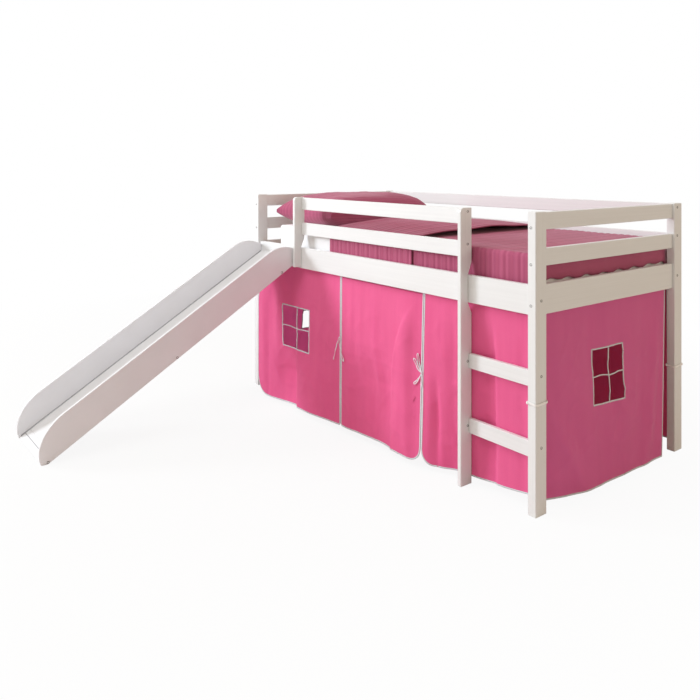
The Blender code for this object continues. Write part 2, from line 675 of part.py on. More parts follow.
def add_back_panel():
    """The plain panel behind, between the back posts."""
    start = POST_WIDTH + END_PANEL_START - POST_DEPTH
    stop = BED_LENGTH - start

    def place(share, z):
        z = lower(z, END_HEM_Z)
        down = hang(z, END_HANG_SHARE)
        wave = math.sin(2 * math.pi * BACK_FOLDS_SHARE * share)
        ripple = FOLD_DEPTH * down * wave * math.sin(math.pi * share)
        y = BACK_INNER - CLOTH_SEAT + BACK_FLARE * down + ripple
        return at(start + (stop - start) * share, y, z)

    def is_hole(share, z):
        return False

    cloth_panel("tent_back", evenly(0, 1, BACK_COLUMNS), panel_rows(), place, is_hole)


def add_strap(name, x, y, z):
    """A round elastic cord drawn about a post."""
    reach = GAP + STRAP_THICKNESS / 2
    low_x, high_x = x - reach, x + POST_WIDTH + reach
    low_y, high_y = y - reach, y + POST_DEPTH + reach
    turn = STRAP_THICKNESS
    corners = (
        (high_x - turn, high_y - turn, 0),
        (low_x + turn, high_y - turn, 1),
        (low_x + turn, low_y + turn, 2),
        (high_x - turn, low_y + turn, 3),
    )
    points = []
    for corner_x, corner_y, quarter in corners:
        for step in range(STRAP_CORNER_STEPS + 1):
            angle = math.pi / 2 * (quarter + step / STRAP_CORNER_STEPS)
            points.append((corner_x + turn * math.cos(angle), corner_y + turn * math.sin(angle)))
    curve = bpy.data.curves.new(name, "CURVE")
    curve.dimensions = "3D"
    curve.bevel_depth = STRAP_THICKNESS / 2
    curve.bevel_resolution = 2
    spline = curve.splines.new("POLY")
    spline.points.add(len(points) - 1)
    spline.use_cyclic_u = True
    for point, (px, py) in zip(spline.points, points):
        point.co = (*at(px, py, z), 1)
    curve.materials.append(TAPE_WHITE)
    strap = bpy.data.objects.new(name, curve)
    bpy.context.scene.collection.objects.link(strap)
    strap.parent = bed


def add_bow(name, outline, slit, z, flare, door):
    """A ribbon bow that ties the door to its neighbour across a slit, and rides on it."""
    down = hang(z)
    x = slit[0] + (slit[1] - slit[0]) * down
    seat_y = FRONT_INNER + CLOTH_SEAT - CLOTH / 2 - BOW_STANDOFF - BOW_DEPTH
    slope = flare * (hang(z - BOW_REACH) - hang(z + BOW_REACH)) / 2 / BOW_REACH
    bm = bmesh.new()
    corners = []
    for a, b in outline:
        rise = BOW_REACH * b
        y = seat_y - flare * down + slope * rise
        corners.append(bm.verts.new(at(x + BOW_REACH * a, y, z + rise) - door.location))
    grown = bmesh.ops.extrude_face_region(bm, geom=[bm.faces.new(corners)])
    moved = [part for part in grown["geom"] if isinstance(part, bmesh.types.BMVert)]
    bmesh.ops.translate(bm, verts=moved, vec=(0, BOW_DEPTH, 0))
    add_object(name, mesh_from(name, bm), TAPE_WHITE, (0, 0, 0), door)


def add_tent():
    """The whole tent, hung inside the wide rails."""
    door = add_tent_front()
    add_end_panel("tent_foot", FOOT_INNER - CLOTH_SEAT, 1, END_FLARE_FOOT, WINDOW_FOOT)
    add_end_panel("tent_head", HEAD_INNER + CLOTH_SEAT, -1, END_FLARE_HEAD, WINDOW_HEAD)
    add_back_panel()
    back_y = BED_WIDTH - POST_DEPTH
    foot_post = BED_LENGTH - POST_WIDTH
    front_z, back_z = WIDE_RAIL_Z * STRAP_FRONT_SHARE, WIDE_RAIL_Z * STRAP_BACK_SHARE
    add_strap("tent_strap_front_foot", foot_post, 0, front_z)
    add_strap("tent_strap_back_foot", foot_post, back_y, back_z)
    add_strap("tent_strap_back_head", 0, back_y, back_z)
    head_level, foot_level = (WIDE_RAIL_Z - drop for drop in BOW_DROPS)
    add_bow("tent_bow_head", BOW_HEAD_SHARES, SLIT_HEAD, head_level, FLARE_SLIT_HEAD, door)
    add_bow("tent_bow_foot", BOW_FOOT_SHARES, SLIT_FOOT, foot_level, FLARE_SLIT_FOOT, door)


def add_mattress():
    """A mattress in its fitted sheet, lying on the slats."""
    near = (FRONT_INNER + BACK_INNER - MATTRESS_WIDTH) / 2
    end = MATTRESS_START_X + MATTRESS_LENGTH
    low = (MATTRESS_START_X, near, SLAT_TOP_Z + GAP)
    high = (end, near + MATTRESS_WIDTH, MATTRESS_TOP_Z)
    board("mattress", low, high, SHEET_WHITE, MATTRESS_ROUND, 4)
    return end, near


def draped_cover(name, start_x, end_x, near, steps, lift, drop_foot):
    """A cover over the mattress, dropped at its sides and, if asked, at the foot."""
    bm = bmesh.new()
    bmesh.ops.create_grid(bm, x_segments=steps[0], y_segments=steps[1], size=1.0)
    far = BED_WIDTH - near
    rim = QUILT_SHOULDER
    reach = rim * EDGE_REACH_SHARE
    low_x, high_x = start_x, end_x - (rim if drop_foot else 0)
    low_y, high_y = near + rim, far - rim
    for vert in bm.verts:
        a, b = (vert.co.x + 1) / 2, (vert.co.y + 1) / 2
        x = low_x + (high_x - low_x) * a
        y = low_y + (high_y - low_y) * b
        z = MATTRESS_TOP_Z + GAP + QUILT_THICKNESS / 2 + lift(a, b)
        vert.co = at(x, y, z)
    middle_y = (near + far) / 2
    top_edges = [e for e in bm.edges if e.is_boundary]
    head_x = at(low_x, 0, 0).x
    foot_x = at(high_x, 0, 0).x
    skirt = []
    for edge in top_edges:
        middle_x = sum(v.co.x for v in edge.verts) / 2
        at_foot = abs(middle_x - foot_x) < reach
        if abs(middle_x - head_x) < reach or (at_foot and not drop_foot):
            continue
        skirt.append(edge)
    rings = [(rim * out, rim * down) for out, down in SHOULDER_RING_SHARES]
    rings += [(0, None), (0, None)]
    drops = len(rings)
    centre_y = at(0, middle_y, 0).y
    for number, (out, down) in enumerate(rings):
        grown = bmesh.ops.extrude_edge_only(bm, edges=skirt)
        fresh = [part for part in grown["geom"] if isinstance(part, bmesh.types.BMVert)]
        skirt = [part for part in grown["geom"] if isinstance(part, bmesh.types.BMEdge)
                 and all(v in fresh for v in part.verts)]
        for vert in fresh:
            on_foot = drop_foot and vert.co.x > foot_x - reach
            on_side = abs(vert.co.y - centre_y) > (high_y - low_y) / 2 - reach
            if down is None:
                wave = QUILT_FOOT_WAVE * math.sin(2 * math.pi * vert.co.y / QUILT_WAVE_LENGTH)
                fall = QUILT_SIDE_DROP
                if on_foot and not on_side:
                    fall = QUILT_FOOT_DROP - wave
                hem = MATTRESS_TOP_Z - fall
                left = drops - number
                vert.co.z += (hem - vert.co.z) / left
            else:
                vert.co.z -= down
            if on_foot:
                vert.co.x += out
            if on_side:
                vert.co.y += math.copysign(out, vert.co.y - centre_y)
    piece = add_object(name, mesh_from(name, bm, True), QUILT_ROSE, (0, 0, 0))
    wall = piece.modifiers.new("thickness", "SOLIDIFY")
    wall.thickness = QUILT_THICKNESS
    wall.offset = 0
    wall.use_even_offset = True


def add_covers(mattress_foot, mattress_near):
    """The rose quilt, and the part of it that is folded back over itself."""
    seat = QUILT_THICKNESS / 2 + FOLD_CLEARANCE
    near = mattress_near - seat
    end = mattress_foot + seat

    def flat(a, b):
        return 0

    draped_cover("quilt", QUILT_START_X, end, near, (16, 10), flat, True)
    step_up = QUILT_THICKNESS + FOLD_CLEARANCE
    upper_near = near - step_up

    def crown(a, b):
        across = math.sin(math.pi * b) ** CROWN_ACROSS_SHARE
        along = math.sin(math.pi * (CROWN_EDGE_SHARE + (1 - 2 * CROWN_EDGE_SHARE) * a))
        return step_up + FOLD_CROWN * across * along ** CROWN_ALONG_SHARE

    draped_cover("quilt_fold", FOLD_START_X, FOLD_END_X, upper_near, (10, 12), crown, False)


def add_pillow():
    """A crowned pillow, its sides drawn in between the corners."""
    bm = bmesh.new()
    segments_x, segments_y = 12, 16
    bmesh.ops.create_grid(bm, x_segments=segments_x, y_segments=segments_y, size=1.0)
    seam_z = MATTRESS_TOP_Z + GAP + PILLOW_UNDER
    half_rim = PILLOW_RIM / 2
    grown = bmesh.ops.extrude_face_region(bm, geom=list(bm.faces))
    lower_verts = {part for part in grown["geom"] if isinstance(part, bmesh.types.BMVert)}
    for vert in bm.verts:
        a = math.sin(vert.co.x * math.pi / 2)
        b = math.sin(vert.co.y * math.pi / 2)
        square = (1 - a ** PILLOW_CORNER_SHARE) * (1 - b ** PILLOW_CORNER_SHARE)
        fill = max(0, square) ** PILLOW_FILL_SHARE
        x = a * (PILLOW_DEPTH / 2 - PILLOW_DRAW_IN * (1 - b * b))
        y = b * (PILLOW_LENGTH / 2 - PILLOW_DRAW_IN * (1 - a * a))
        if vert in lower_verts:
            sag = min(1, fill * PILLOW_FLAT_SHARE)
            z = seam_z - half_rim - (PILLOW_UNDER - half_rim) * sag
        else:
            z = seam_z + half_rim + PILLOW_CROWN * fill
        vert.co = at(PILLOW_X + x, PILLOW_Y + y, z)
    add_object("pillow", mesh_from("pillow", bm, True), QUILT_ROSE, (0, 0, 0))


add_posts()
add_rails()
add_guard_and_ladder()
add_base()
add_slide()
add_tent()
mattress_end, mattress_side = add_mattress()
add_covers(mattress_end, mattress_side)
add_pillow()
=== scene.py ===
# %% [markdown]
# This lesson dresses a low loft bed: a pine frame in white lacquer, a slide, a ladder, a cotton
# play tent under the deck and quilted bedding on top. The solid model is loaded first and is never
# moved. Rigid boards keep their CAD shape and get a finish. Cloth, padding and small fittings are
# built here, each in the place that its plain solid holds.

# %% Load the fixed frame
import math

import bmesh
import bpy
from mathutils import Matrix, Vector, noise


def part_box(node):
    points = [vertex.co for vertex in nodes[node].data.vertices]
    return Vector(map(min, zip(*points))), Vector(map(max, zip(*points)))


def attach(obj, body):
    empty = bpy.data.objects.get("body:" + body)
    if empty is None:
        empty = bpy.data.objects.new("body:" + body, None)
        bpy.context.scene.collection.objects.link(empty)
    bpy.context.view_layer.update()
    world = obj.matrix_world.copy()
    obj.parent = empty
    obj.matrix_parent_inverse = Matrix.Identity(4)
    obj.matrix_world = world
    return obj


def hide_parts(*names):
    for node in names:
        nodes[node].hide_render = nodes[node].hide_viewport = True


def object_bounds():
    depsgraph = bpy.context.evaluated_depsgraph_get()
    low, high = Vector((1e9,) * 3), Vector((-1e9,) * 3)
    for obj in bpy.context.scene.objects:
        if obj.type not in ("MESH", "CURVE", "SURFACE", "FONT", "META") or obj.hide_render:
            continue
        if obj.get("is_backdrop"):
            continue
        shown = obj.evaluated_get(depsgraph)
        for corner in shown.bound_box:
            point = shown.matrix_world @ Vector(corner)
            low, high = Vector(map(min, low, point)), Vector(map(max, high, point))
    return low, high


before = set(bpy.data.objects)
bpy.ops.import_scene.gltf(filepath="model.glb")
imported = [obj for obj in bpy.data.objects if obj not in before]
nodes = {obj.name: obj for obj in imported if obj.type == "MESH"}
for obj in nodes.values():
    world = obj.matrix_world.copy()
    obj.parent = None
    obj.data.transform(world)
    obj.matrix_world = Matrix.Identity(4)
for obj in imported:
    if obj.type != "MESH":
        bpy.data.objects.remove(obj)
cad_box = [list(corner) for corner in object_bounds()]
print("CAD nodes:", len(nodes))

# %% [markdown]
# The sizes that the cloth and the fittings hang from are the bed's own. They are given from the
# front head post's outer corner, in metres, and at() moves them to the frame's origin, which is
# the middle of that post's foot.

# %% Shared sizes
MM = 0.001
BED_LENGTH = 2000 * MM
BED_WIDTH = 1036 * MM
POST_WIDTH = 37 * MM
POST_DEPTH = 62 * MM
RAIL_INNER = 32 * MM
MATTRESS_TOP_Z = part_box("mattress")[1].z


def at(x, y, z):
    """A point given from the front head post's outer corner, moved to the frame's origin."""
    return Vector((x - POST_WIDTH / 2, y - POST_DEPTH / 2, z))


print("mattress top at", round(MATTRESS_TOP_Z, 3), "m")

# %% [markdown]
# The camera comes first. The photograph has a level camera whose picture is shifted down, so that
# upright posts stay upright. A lens shift does the same, and no turning of the camera could.

# %% The camera
CAMERA_PLACE = (3.5923, -2.1180, 1.2709)
CAMERA_TURN = 52.35
CAMERA_LENS = 36.473
CAMERA_SHIFT = -0.2636

camera_data = bpy.data.cameras.new("camera")
camera_data.lens = CAMERA_LENS
camera_data.sensor_width = 36
camera_data.shift_y = CAMERA_SHIFT
camera = bpy.data.objects.new("camera", camera_data)
camera.location = CAMERA_PLACE
camera.rotation_euler = (math.radians(90), 0, math.radians(CAMERA_TURN))
bpy.context.scene.collection.objects.link(camera)
bpy.context.scene.camera = camera
print("camera", round(camera.location.z, 2), "m above the floor")

# %% [markdown]
# Every finish is a small tree of nodes. One function turns a hex colour to linear light, and one
# adds a node with its settings and links, so that each finish below reads as a recipe.

# %% Helpers for finishes
def linear(hex_colour):
    """A colour such as #F2EFEB in linear light, with full alpha."""
    parts = [int(hex_colour[i:i + 2], 16) / 255 for i in (1, 3, 5)]
    light = [p / 12.92 if p <= 0.04045 else ((p + 0.055) / 1.055) ** 2.4 for p in parts]
    return (*light, 1.0)


def add_node(tree, kind, settings=None, in_order=(), **by_name):
    """A node with its settings and inputs. An input is a value, or a socket that feeds it."""
    node = tree.nodes.new(kind)
    for key, value in (settings or {}).items():
        setattr(node, key, value)
    fed = list(zip(node.inputs, in_order))
    for key, value in by_name.items():
        words = key.replace("_", " ").lower()
        fed.append((next(s for s in node.inputs if s.name.lower() == words and s.enabled), value))
    for socket, value in fed:
        if isinstance(value, bpy.types.NodeSocket):
            tree.links.new(value, socket)
        else:
            socket.default_value = value
    return node


def combine(tree, operation, *values):
    """One step of arithmetic on sockets and numbers."""
    return add_node(tree, "ShaderNodeMath", {"operation": operation}, values).outputs[0]


def soft_noise(tree, vector, scale, detail=2.0):
    """Noise at a scale in cycles a metre."""
    return add_node(
        tree, "ShaderNodeTexNoise", Vector=vector, Scale=scale, Detail=detail).outputs[0]


def blend_shaders(tree, share, first, second, target):
    """Shows two shaders, mixed by a share, in an output node."""
    mix = add_node(tree, "ShaderNodeMixShader", None, (share, first, second))
    tree.links.new(mix.outputs[0], tree.nodes[target].inputs["Surface"])


# %% [markdown]
# A finish starts as one shader. Patterns are read at each point of the surface, and they do two
# things: they tint the colour a little and they raise a relief, since no real coat is even.

# %% What every finish does
def new_finish(name, **settings):
    """A material with its shader, and the object coordinates that its patterns read."""
    material = bpy.data.materials.new(name)
    material.use_nodes = True
    tree = material.node_tree
    shader = tree.nodes["Principled BSDF"]
    for key, value in settings.items():
        shader.inputs[key.replace("_", " ")].default_value = value
    place = add_node(tree, "ShaderNodeTexCoord")
    return material, tree, shader, place


def stretched(tree, vector, scale):
    """The coordinates times a scale for each axis, in cycles a metre."""
    return add_node(tree, "ShaderNodeMapping", Vector=vector, Scale=scale).outputs[0]


def tint(tree, shader, factor, low, high):
    """Colours the shader between two hex colours."""
    ramp = add_node(tree, "ShaderNodeValToRGB", Fac=factor)
    ramp.color_ramp.elements[0].color = linear(low)
    ramp.color_ramp.elements[1].color = linear(high)
    tree.links.new(ramp.outputs[0], shader.inputs["Base Color"])


def relief(tree, shader, height, depth, strength):
    """Bump on the shader, with the relief's depth in metres."""
    bump = add_node(tree, "ShaderNodeBump", Height=height, Distance=depth, Strength=strength)
    tree.links.new(bump.outputs[0], shader.inputs["Normal"])


# %% [markdown]
# The frame is knot-free pine under a sprayed white lacquer. The lacquer gives a satin sheen with a
# very fine orange peel, and the softer rings sink a little, so long faint lines run along each
# board. The lines follow the board, so there is one finish for each direction of the grain.

# %% White lacquered pine
RING_WIDTH = 9 * MM
GRAIN_LENGTH = 700 * MM
PEEL_SIZE = 5 * MM
PEEL_SHARE = 0.25
LACQUER_RELIEF = 0.25 * MM


def lacquered_pine(name, along):
    """White satin lacquer over pine whose grain runs along one axis."""
    material, tree, shader, place = new_finish(name, Roughness=0.36, IOR=1.5, Coat_Weight=0.15)
    scale = [1 / GRAIN_LENGTH if i == along else 1 / RING_WIDTH for i in range(3)]
    grain = soft_noise(tree, stretched(tree, place.outputs["Object"], scale), 1.0, 3.0)
    peel = soft_noise(tree, place.outputs["Object"], 1 / PEEL_SIZE)
    tint(tree, shader, grain, "#E0E1E1", "#EAEBEB")
    both = combine(tree, "MULTIPLY_ADD", peel, PEEL_SHARE, grain)
    relief(tree, shader, both, LACQUER_RELIEF, 0.5)
    return material


GRAINS = [lacquered_pine(f"lacquered_pine_along_{axis}", i) for i, axis in enumerate("xyz")]
print(len(GRAINS), "lacquers, one for each direction")

# %% [markdown]
# The slide is a smooth board under white melamine, pressed against a polished plate. It is glossier
# and flatter than the lacquer, with only a slow waviness, which breaks up its reflections. The bed
# and the sides get two copies of it that paint light: the bed's is a touch dimmer where the lamp
# lights it hard, and the sides' a touch bluer, a painted shade.

# %% White melamine
WAVES_A_METRE = 9.0
WAVE_RELIEF = 0.6 * MM


def melamine(name, dark, light):
    """A pressed white board finish."""
    material, tree, shader, place = new_finish(name, Roughness=0.24, IOR=1.5)
    wave = soft_noise(tree, place.outputs["Object"], WAVES_A_METRE)
    tint(tree, shader, wave, dark, light)
    relief(tree, shader, wave, WAVE_RELIEF, 0.35)
    return material


# Two copies of one melamine: the bed's is dimmed where the lamp lights it, and the sides' is tinted
# for their painted shade.
LIT_BED_MELAMINE = melamine("melamine_dimmed_for_lit_bed", "#E2E3E5", "#EAEBEC")
SHADED_SIDE_MELAMINE = melamine("melamine_tinted_for_shaded_sides", "#E3E3E7", "#EAEAEE")
print(LIT_BED_MELAMINE.name, "and", SHADED_SIDE_MELAMINE.name)

# %% [markdown]
# Slats and ledges are bare planed pine. Its early wood is pale straw and its late wood is a darker
# amber line, which repeats every 14 mm where a board is cut near the side of the log. Rings that
# are stretched along the board and bent by noise draw that.

# %% Bare planed pine
LATE_WOOD_PITCH = 14 * MM
ALONG_SCALE = 0.12
BENDS_A_METRE = 6.0
BEND = (0.05, 0.05, 0.05)
# A wave texture of scale 1 repeats about this many times in a metre.
REPEATS_A_METRE = 3.14


def bare_pine(name, along):
    """Planed pine with amber late wood lines along one axis."""
    material, tree, shader, place = new_finish(name, Roughness=0.62, IOR=1.5)
    scale = [ALONG_SCALE if i == along else 1.0 for i in range(3)]
    flow = stretched(tree, place.outputs["Object"], scale)
    bend = add_node(
        tree, "ShaderNodeTexNoise", Vector=flow, Scale=BENDS_A_METRE, Detail=2.0)
    moved = add_node(
        tree, "ShaderNodeVectorMath", {"operation": "MULTIPLY_ADD"},
        (bend.outputs["Color"], BEND, flow))
    rings = add_node(
        tree, "ShaderNodeTexWave", {"wave_type": "RINGS", "rings_direction": "XYZ"[along]},
        Vector=moved.outputs[0], Scale=1 / LATE_WOOD_PITCH / REPEATS_A_METRE, Distortion=1.2,
        Detail=2.0)
    tint(tree, shader, rings.outputs[1], "#E6CFA6", "#C99A62")
    relief(tree, shader, rings.outputs[1], 0.2 * MM, 0.4)
    return material


SLAT_PINE = bare_pine("planed_pine_along_y", 1)
LEDGE_PINE = bare_pine("planed_pine_along_x", 0)
print(SLAT_PINE.name, "and", LEDGE_PINE.name)

# %% [markdown]
# The tent is a plain woven cotton in a strong pink. Warp and weft cross every millimetre, which no
# picture of the whole bed could show, so the weave is drawn at 4 mm. Slow blotches stand for the
# uneven dye and the packing. Cotton scatters light at its fuzzy surface, so it has some sheen, and
# it is thin enough to let light through, so the den glows inside. The end panels get a paler, bluer
# copy of the cotton that lets more light through: painted light, for the paler glow of their shade.

# %% Woven cottons
WEAVE_PITCH = 4 * MM
TAPE_PITCH = 3 * MM
WEAVE_RELIEF = 0.25 * MM
SLUB_LENGTH = 60 * MM
SLUB_WIDTH = 8 * SLUB_LENGTH
BLOTCHES_A_METRE = 5.0
SLUB_SHARE, BLOTCH_SHARE, WEAVE_SHARE, RIB_SHARE = 0.4, 0.5, 0.55, 0.35


def let_through(tree, shader, share, colour):
    """Lets a share of the light through a thin cloth, tinted on its way."""
    glow = add_node(tree, "ShaderNodeBsdfTranslucent", Color=linear(colour))
    blend_shaders(tree, share, shader.outputs[0], glow.outputs[0], "Material Output")


def bands(tree, vector, pitch, direction, distortion=0.6):
    """Bands that lie a pitch apart in metres, across one direction."""
    return add_node(
        tree, "ShaderNodeTexWave", {"bands_direction": direction}, Vector=vector,
        Scale=1 / pitch / REPEATS_A_METRE, Distortion=distortion, Detail=1.0).outputs[1]


def woven(name, dark, light, sheen, pitch=WEAVE_PITCH, ribs=None, sheer=0.0):
    """Plain woven cotton. Its pattern follows the piece's own UV map, which is in metres."""
    material, tree, shader, place = new_finish(
        name, Roughness=0.88, IOR=1.45, Sheen_Weight=sheen, Sheen_Roughness=0.45)
    cloth = place.outputs["UV"]
    weft, warp = bands(tree, cloth, pitch, "Y"), bands(tree, cloth, pitch, "X")
    weave = combine(tree, "MULTIPLY", weft, warp)
    blotch = soft_noise(tree, cloth, BLOTCHES_A_METRE, 3.0)
    uneven = combine(tree, "MULTIPLY_ADD", blotch, BLOTCH_SHARE, weave)
    uneven = combine(tree, "MULTIPLY", uneven, WEAVE_SHARE)
    slub = soft_noise(tree, stretched(tree, cloth, (1 / SLUB_LENGTH, 1 / SLUB_WIDTH, 1)), 1.0)
    factor = combine(tree, "MULTIPLY_ADD", slub, SLUB_SHARE, uneven)
    if ribs:
        line = bands(tree, cloth, 2 * ribs, "X", 0.0)
        factor = combine(tree, "MULTIPLY_ADD", line, RIB_SHARE, factor)
    tint(tree, shader, factor, dark, light)
    relief(tree, shader, weave, WEAVE_RELIEF, 0.6)
    if sheer:
        let_through(tree, shader, sheer, "#FFADDA")
    return material


TENT_COTTON = woven("pink_tent_cotton", "#E3508C", "#FF7AAC", 0.1, sheer=0.2)
# A paler, bluer copy of the tent cotton with more light let through, which paints the glow that the
# end panels show in their shade.
END_COTTON_PAINTED_SHADE_GLOW = woven("pink_cotton_painted_shade_glow", "#E36CAE", "#FB8FC6", 0.2, sheer=0.42)
TAPE = woven("pale_binding_tape", "#C3C8CC", "#DDE1E4", 0.1, TAPE_PITCH)
TIE = woven("pale_ribbon", "#D9D2DA", "#F0EAF0", 0.2, TAPE_PITCH)
ELASTIC = woven("white_elastic", "#F4F3F1", "#FDFCFB", 0.1, TAPE_PITCH)
SHEET_COTTON = woven("white_sheet_cotton", "#F2F3F5", "#FBFBFC", 0.1)
QUILT_COTTON = woven("rose_quilt_cotton", "#92395B", "#B65879", 0.2, ribs=12 * MM)
print(len(bpy.data.materials), "materials so far")

# %% [markdown]
# Bolts are steel under a dark oxide that is left by the bath. It is dull, with a grain of crystals,
# and it looks nearly black from across the room.

# %% Blackened steel
BLACKENED, tree, shader, place = new_finish("blackened_steel", Roughness=0.8, IOR=1.3)
spangle = soft_noise(tree, place.outputs["Object"], 900.0)
tint(tree, shader, spangle, "#1E1A19", "#332D2B")
relief(tree, shader, spangle, 0.05 * MM, 0.5)
print(BLACKENED.name, "made")

# %% [markdown]
# Boards keep their CAD meshes. Each gets the lacquer whose grain runs along its longest side, but
# the slide is melamine, and the slats and their ledges are bare pine.

# %% Finish the rigid boards
for name, node in nodes.items():
    low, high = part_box(name)
    size = high - low
    along = max(range(3), key=lambda i: size[i])
    finish = GRAINS[along]
    if name.startswith("slide_"):
        finish = SHADED_SIDE_MELAMINE if "side" in name else LIT_BED_MELAMINE
    if name.startswith("slat_"):
        finish = LEDGE_PINE if "ledge" in name else SLAT_PINE
    node.data.materials.clear()
    node.data.materials.append(finish)
print("boards finished")

# %% [markdown]
# Pieces made here go through one function, which makes the object from its bmesh, gives it its
# finish and wall, and ties it to the body that it moves with.

# %% Helpers for pieces
def mesh_of(name, bm, smooth=True):
    """The mesh of a bmesh, shaded smooth if asked."""
    mesh = bpy.data.meshes.new(name)
    bm.to_mesh(mesh)
    bm.free()
    if smooth:
        mesh.shade_smooth()
    return mesh


def add_piece(name, bm, material, body="root", replaced=(), wall=0.0, smooth=True):
    """An object at the origin that rides on a body and stands for CAD nodes."""
    mesh = mesh_of(name, bm, smooth)
    mesh.materials.append(material)
    piece = bpy.data.objects.new(name, mesh)
    bpy.context.scene.collection.objects.link(piece)
    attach(piece, body)
    if replaced:
        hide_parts(*replaced)
    if wall:
        thickness = piece.modifiers.new("thickness", "SOLIDIFY")
        thickness.thickness = wall
        thickness.offset = 0.0
        thickness.use_even_offset = False
    return piece


# %% [markdown]
# Cloth and ribbons are grids. A grid has stops across and stops down, and a rule says where each
# of its points lies. The stops also give the UV map, so a weave keeps its size on every cloth.

# %% Helpers for grids
def evenly(start, stop, pitch):
    """Evenly spaced values from start to stop, about a pitch apart."""
    count = max(1, round(abs(stop - start) / pitch))
    return [start + (stop - start) * step / count for step in range(count + 1)]


def grid_of(columns, rows, place, hole=None):
    """A grid whose points a rule places, with UVs in metres. A hole is two columns and two rows."""
    bm = bmesh.new()
    across, down = len(columns) - 1, len(rows) - 1
    bmesh.ops.create_grid(bm, x_segments=across, y_segments=down, size=1.0)
    spots = {}
    for vert in bm.verts:
        i = round((vert.co.x + 1) / 2 * across)
        j = round((vert.co.y + 1) / 2 * down)
        spots[vert] = (columns[i], rows[j])
    if hole:
        u0, u1, v0, v1 = hole
        inside = []
        for face in bm.faces:
            u, v = (sum(spots[vert][i] for vert in face.verts) / len(face.verts) for i in (0, 1))
            if u0 < u < u1 and v0 < v < v1:
                inside.append(face)
        bmesh.ops.delete(bm, geom=inside, context="FACES")
        spots = {vert: spots[vert] for vert in bm.verts}
    layer = bm.loops.layers.uv.new("cloth")
    for face in bm.faces:
        for corner in face.loops:
            corner[layer].uv = spots[corner.vert]
    for vert, spot in spots.items():
        vert.co = place(*spot)
    bmesh.ops.recalc_face_normals(bm, faces=bm.faces)
    return bm


def ribbon(points, sides, width):
    """A flat ribbon along points, with the direction across it at each one."""
    lengths = [0.0]
    for first, second in zip(points, points[1:]):
        lengths.append(lengths[-1] + (second - first).length)

    def place(u, v):
        i = min(range(len(lengths)), key=lambda k: abs(lengths[k] - v))
        return points[i] + sides[i] * u

    return grid_of([-width / 2, 0, width / 2], lengths, place)


def join(parts):
    """One bmesh made of several."""
    whole = bmesh.new()
    for part in parts:
        scratch = mesh_of("scratch", part, False)
        whole.from_mesh(scratch)
        bpy.data.meshes.remove(scratch)
    return whole


def lay_uv(bm, rule):
    """Gives each point the UV, in metres, that a rule says for it."""
    layer = bm.loops.layers.uv.new("cloth")
    for face in bm.faces:
        for corner in face.loops:
            corner[layer].uv = rule(corner.vert.co)


def add_knot(name, centre, radius, shape, finish, body, lumps=0.0):
    """A small tied knot."""
    knot = bmesh.new()
    bmesh.ops.create_icosphere(knot, subdivisions=3, radius=radius)
    for vert in knot.verts:
        vert.co *= 1 + lumps * noise.noise(vert.co * 400)
    bmesh.ops.scale(knot, verts=knot.verts, vec=shape)
    bmesh.ops.translate(knot, verts=knot.verts, vec=centre)
    knot.loops.layers.uv.new("cloth")
    add_piece(name, knot, finish, body)


# %% [markdown]
# Socket-headed bolts pull the rails against the posts. Each is a low cylinder with a rounded rim,
# and a hexagon is inset in its face and pushed in. Their places were measured in the photograph,
# and the hidden ones repeat the pattern of those that show.

# %% Bolts
BOLT_RADIUS = 4.8 * MM
SCREW_RADIUS = 5.6 * MM
BOLT_PROUD = 1.2 * MM
BOLT_RIM = 0.4 * MM
SOCKET_RADIUS = 3.0 * MM
SOCKET_DEPTH = 2.2 * MM
TO_HEAD, TO_FOOT, TO_FRONT, TO_BACK = (-1, 0, 0), (1, 0, 0), (0, -1, 0), (0, 1, 0)
SIDE_BOLTS = (1045 * MM, 911 * MM, 762 * MM)
END_BOLTS = (1085 * MM, 959 * MM, 781 * MM)
BOLT_COLUMNS = (
    (16 * MM, 0, TO_FRONT, SIDE_BOLTS), (16 * MM, BED_WIDTH, TO_BACK, SIDE_BOLTS),
    (1978 * MM, 0, TO_FRONT, SIDE_BOLTS), (1978 * MM, BED_WIDTH, TO_BACK, SIDE_BOLTS),
    (BED_LENGTH, 31 * MM, TO_FOOT, (780 * MM, 506 * MM, 247 * MM)),
    (BED_LENGTH, 997 * MM, TO_FOOT, END_BOLTS), (0, 997 * MM, TO_HEAD, END_BOLTS),
    (0, 31 * MM, TO_HEAD, (780 * MM,)),
    (1662 * MM, 8 * MM, TO_FOOT, (1088 * MM, 958 * MM, 492 * MM, 235 * MM)),
    (449 * MM, 8 * MM, TO_HEAD, (1068 * MM, 935 * MM)))
SLIDE_SIDES = ((442 * MM, TO_FOOT), (41 * MM, TO_HEAD))
SLIDE_SCREWS = ((-1262 * MM, 9 * MM), (-678 * MM, 358 * MM), (-94 * MM, 709 * MM))


def bolt(centre, outward, radius=BOLT_RADIUS):
    """A bolt head with a hexagon socket, set a little into the wood."""
    bm = bmesh.new()
    bmesh.ops.create_cone(
        bm, cap_ends=True, segments=24, radius1=radius, radius2=radius, depth=2 * BOLT_PROUD)
    top = max(bm.faces, key=lambda face: face.calc_center_median().z)
    bmesh.ops.bevel(
        bm, geom=list(top.edges), offset=BOLT_RIM, segments=2, profile=0.5,
        affect="EDGES", material=-1, clamp_overlap=True)
    top = max(bm.faces, key=lambda face: (round(face.calc_center_median().z, 6), face.calc_area()))
    bmesh.ops.inset_individual(bm, faces=[top], thickness=radius - BOLT_RIM - SOCKET_RADIUS)
    bmesh.ops.translate(bm, verts=list(top.verts), vec=(0, 0, -SOCKET_DEPTH))
    turn = Vector((0, 0, 1)).rotation_difference(Vector(outward)).to_matrix().to_4x4()
    bmesh.ops.transform(bm, matrix=Matrix.Translation(centre) @ turn, verts=bm.verts)
    return bm


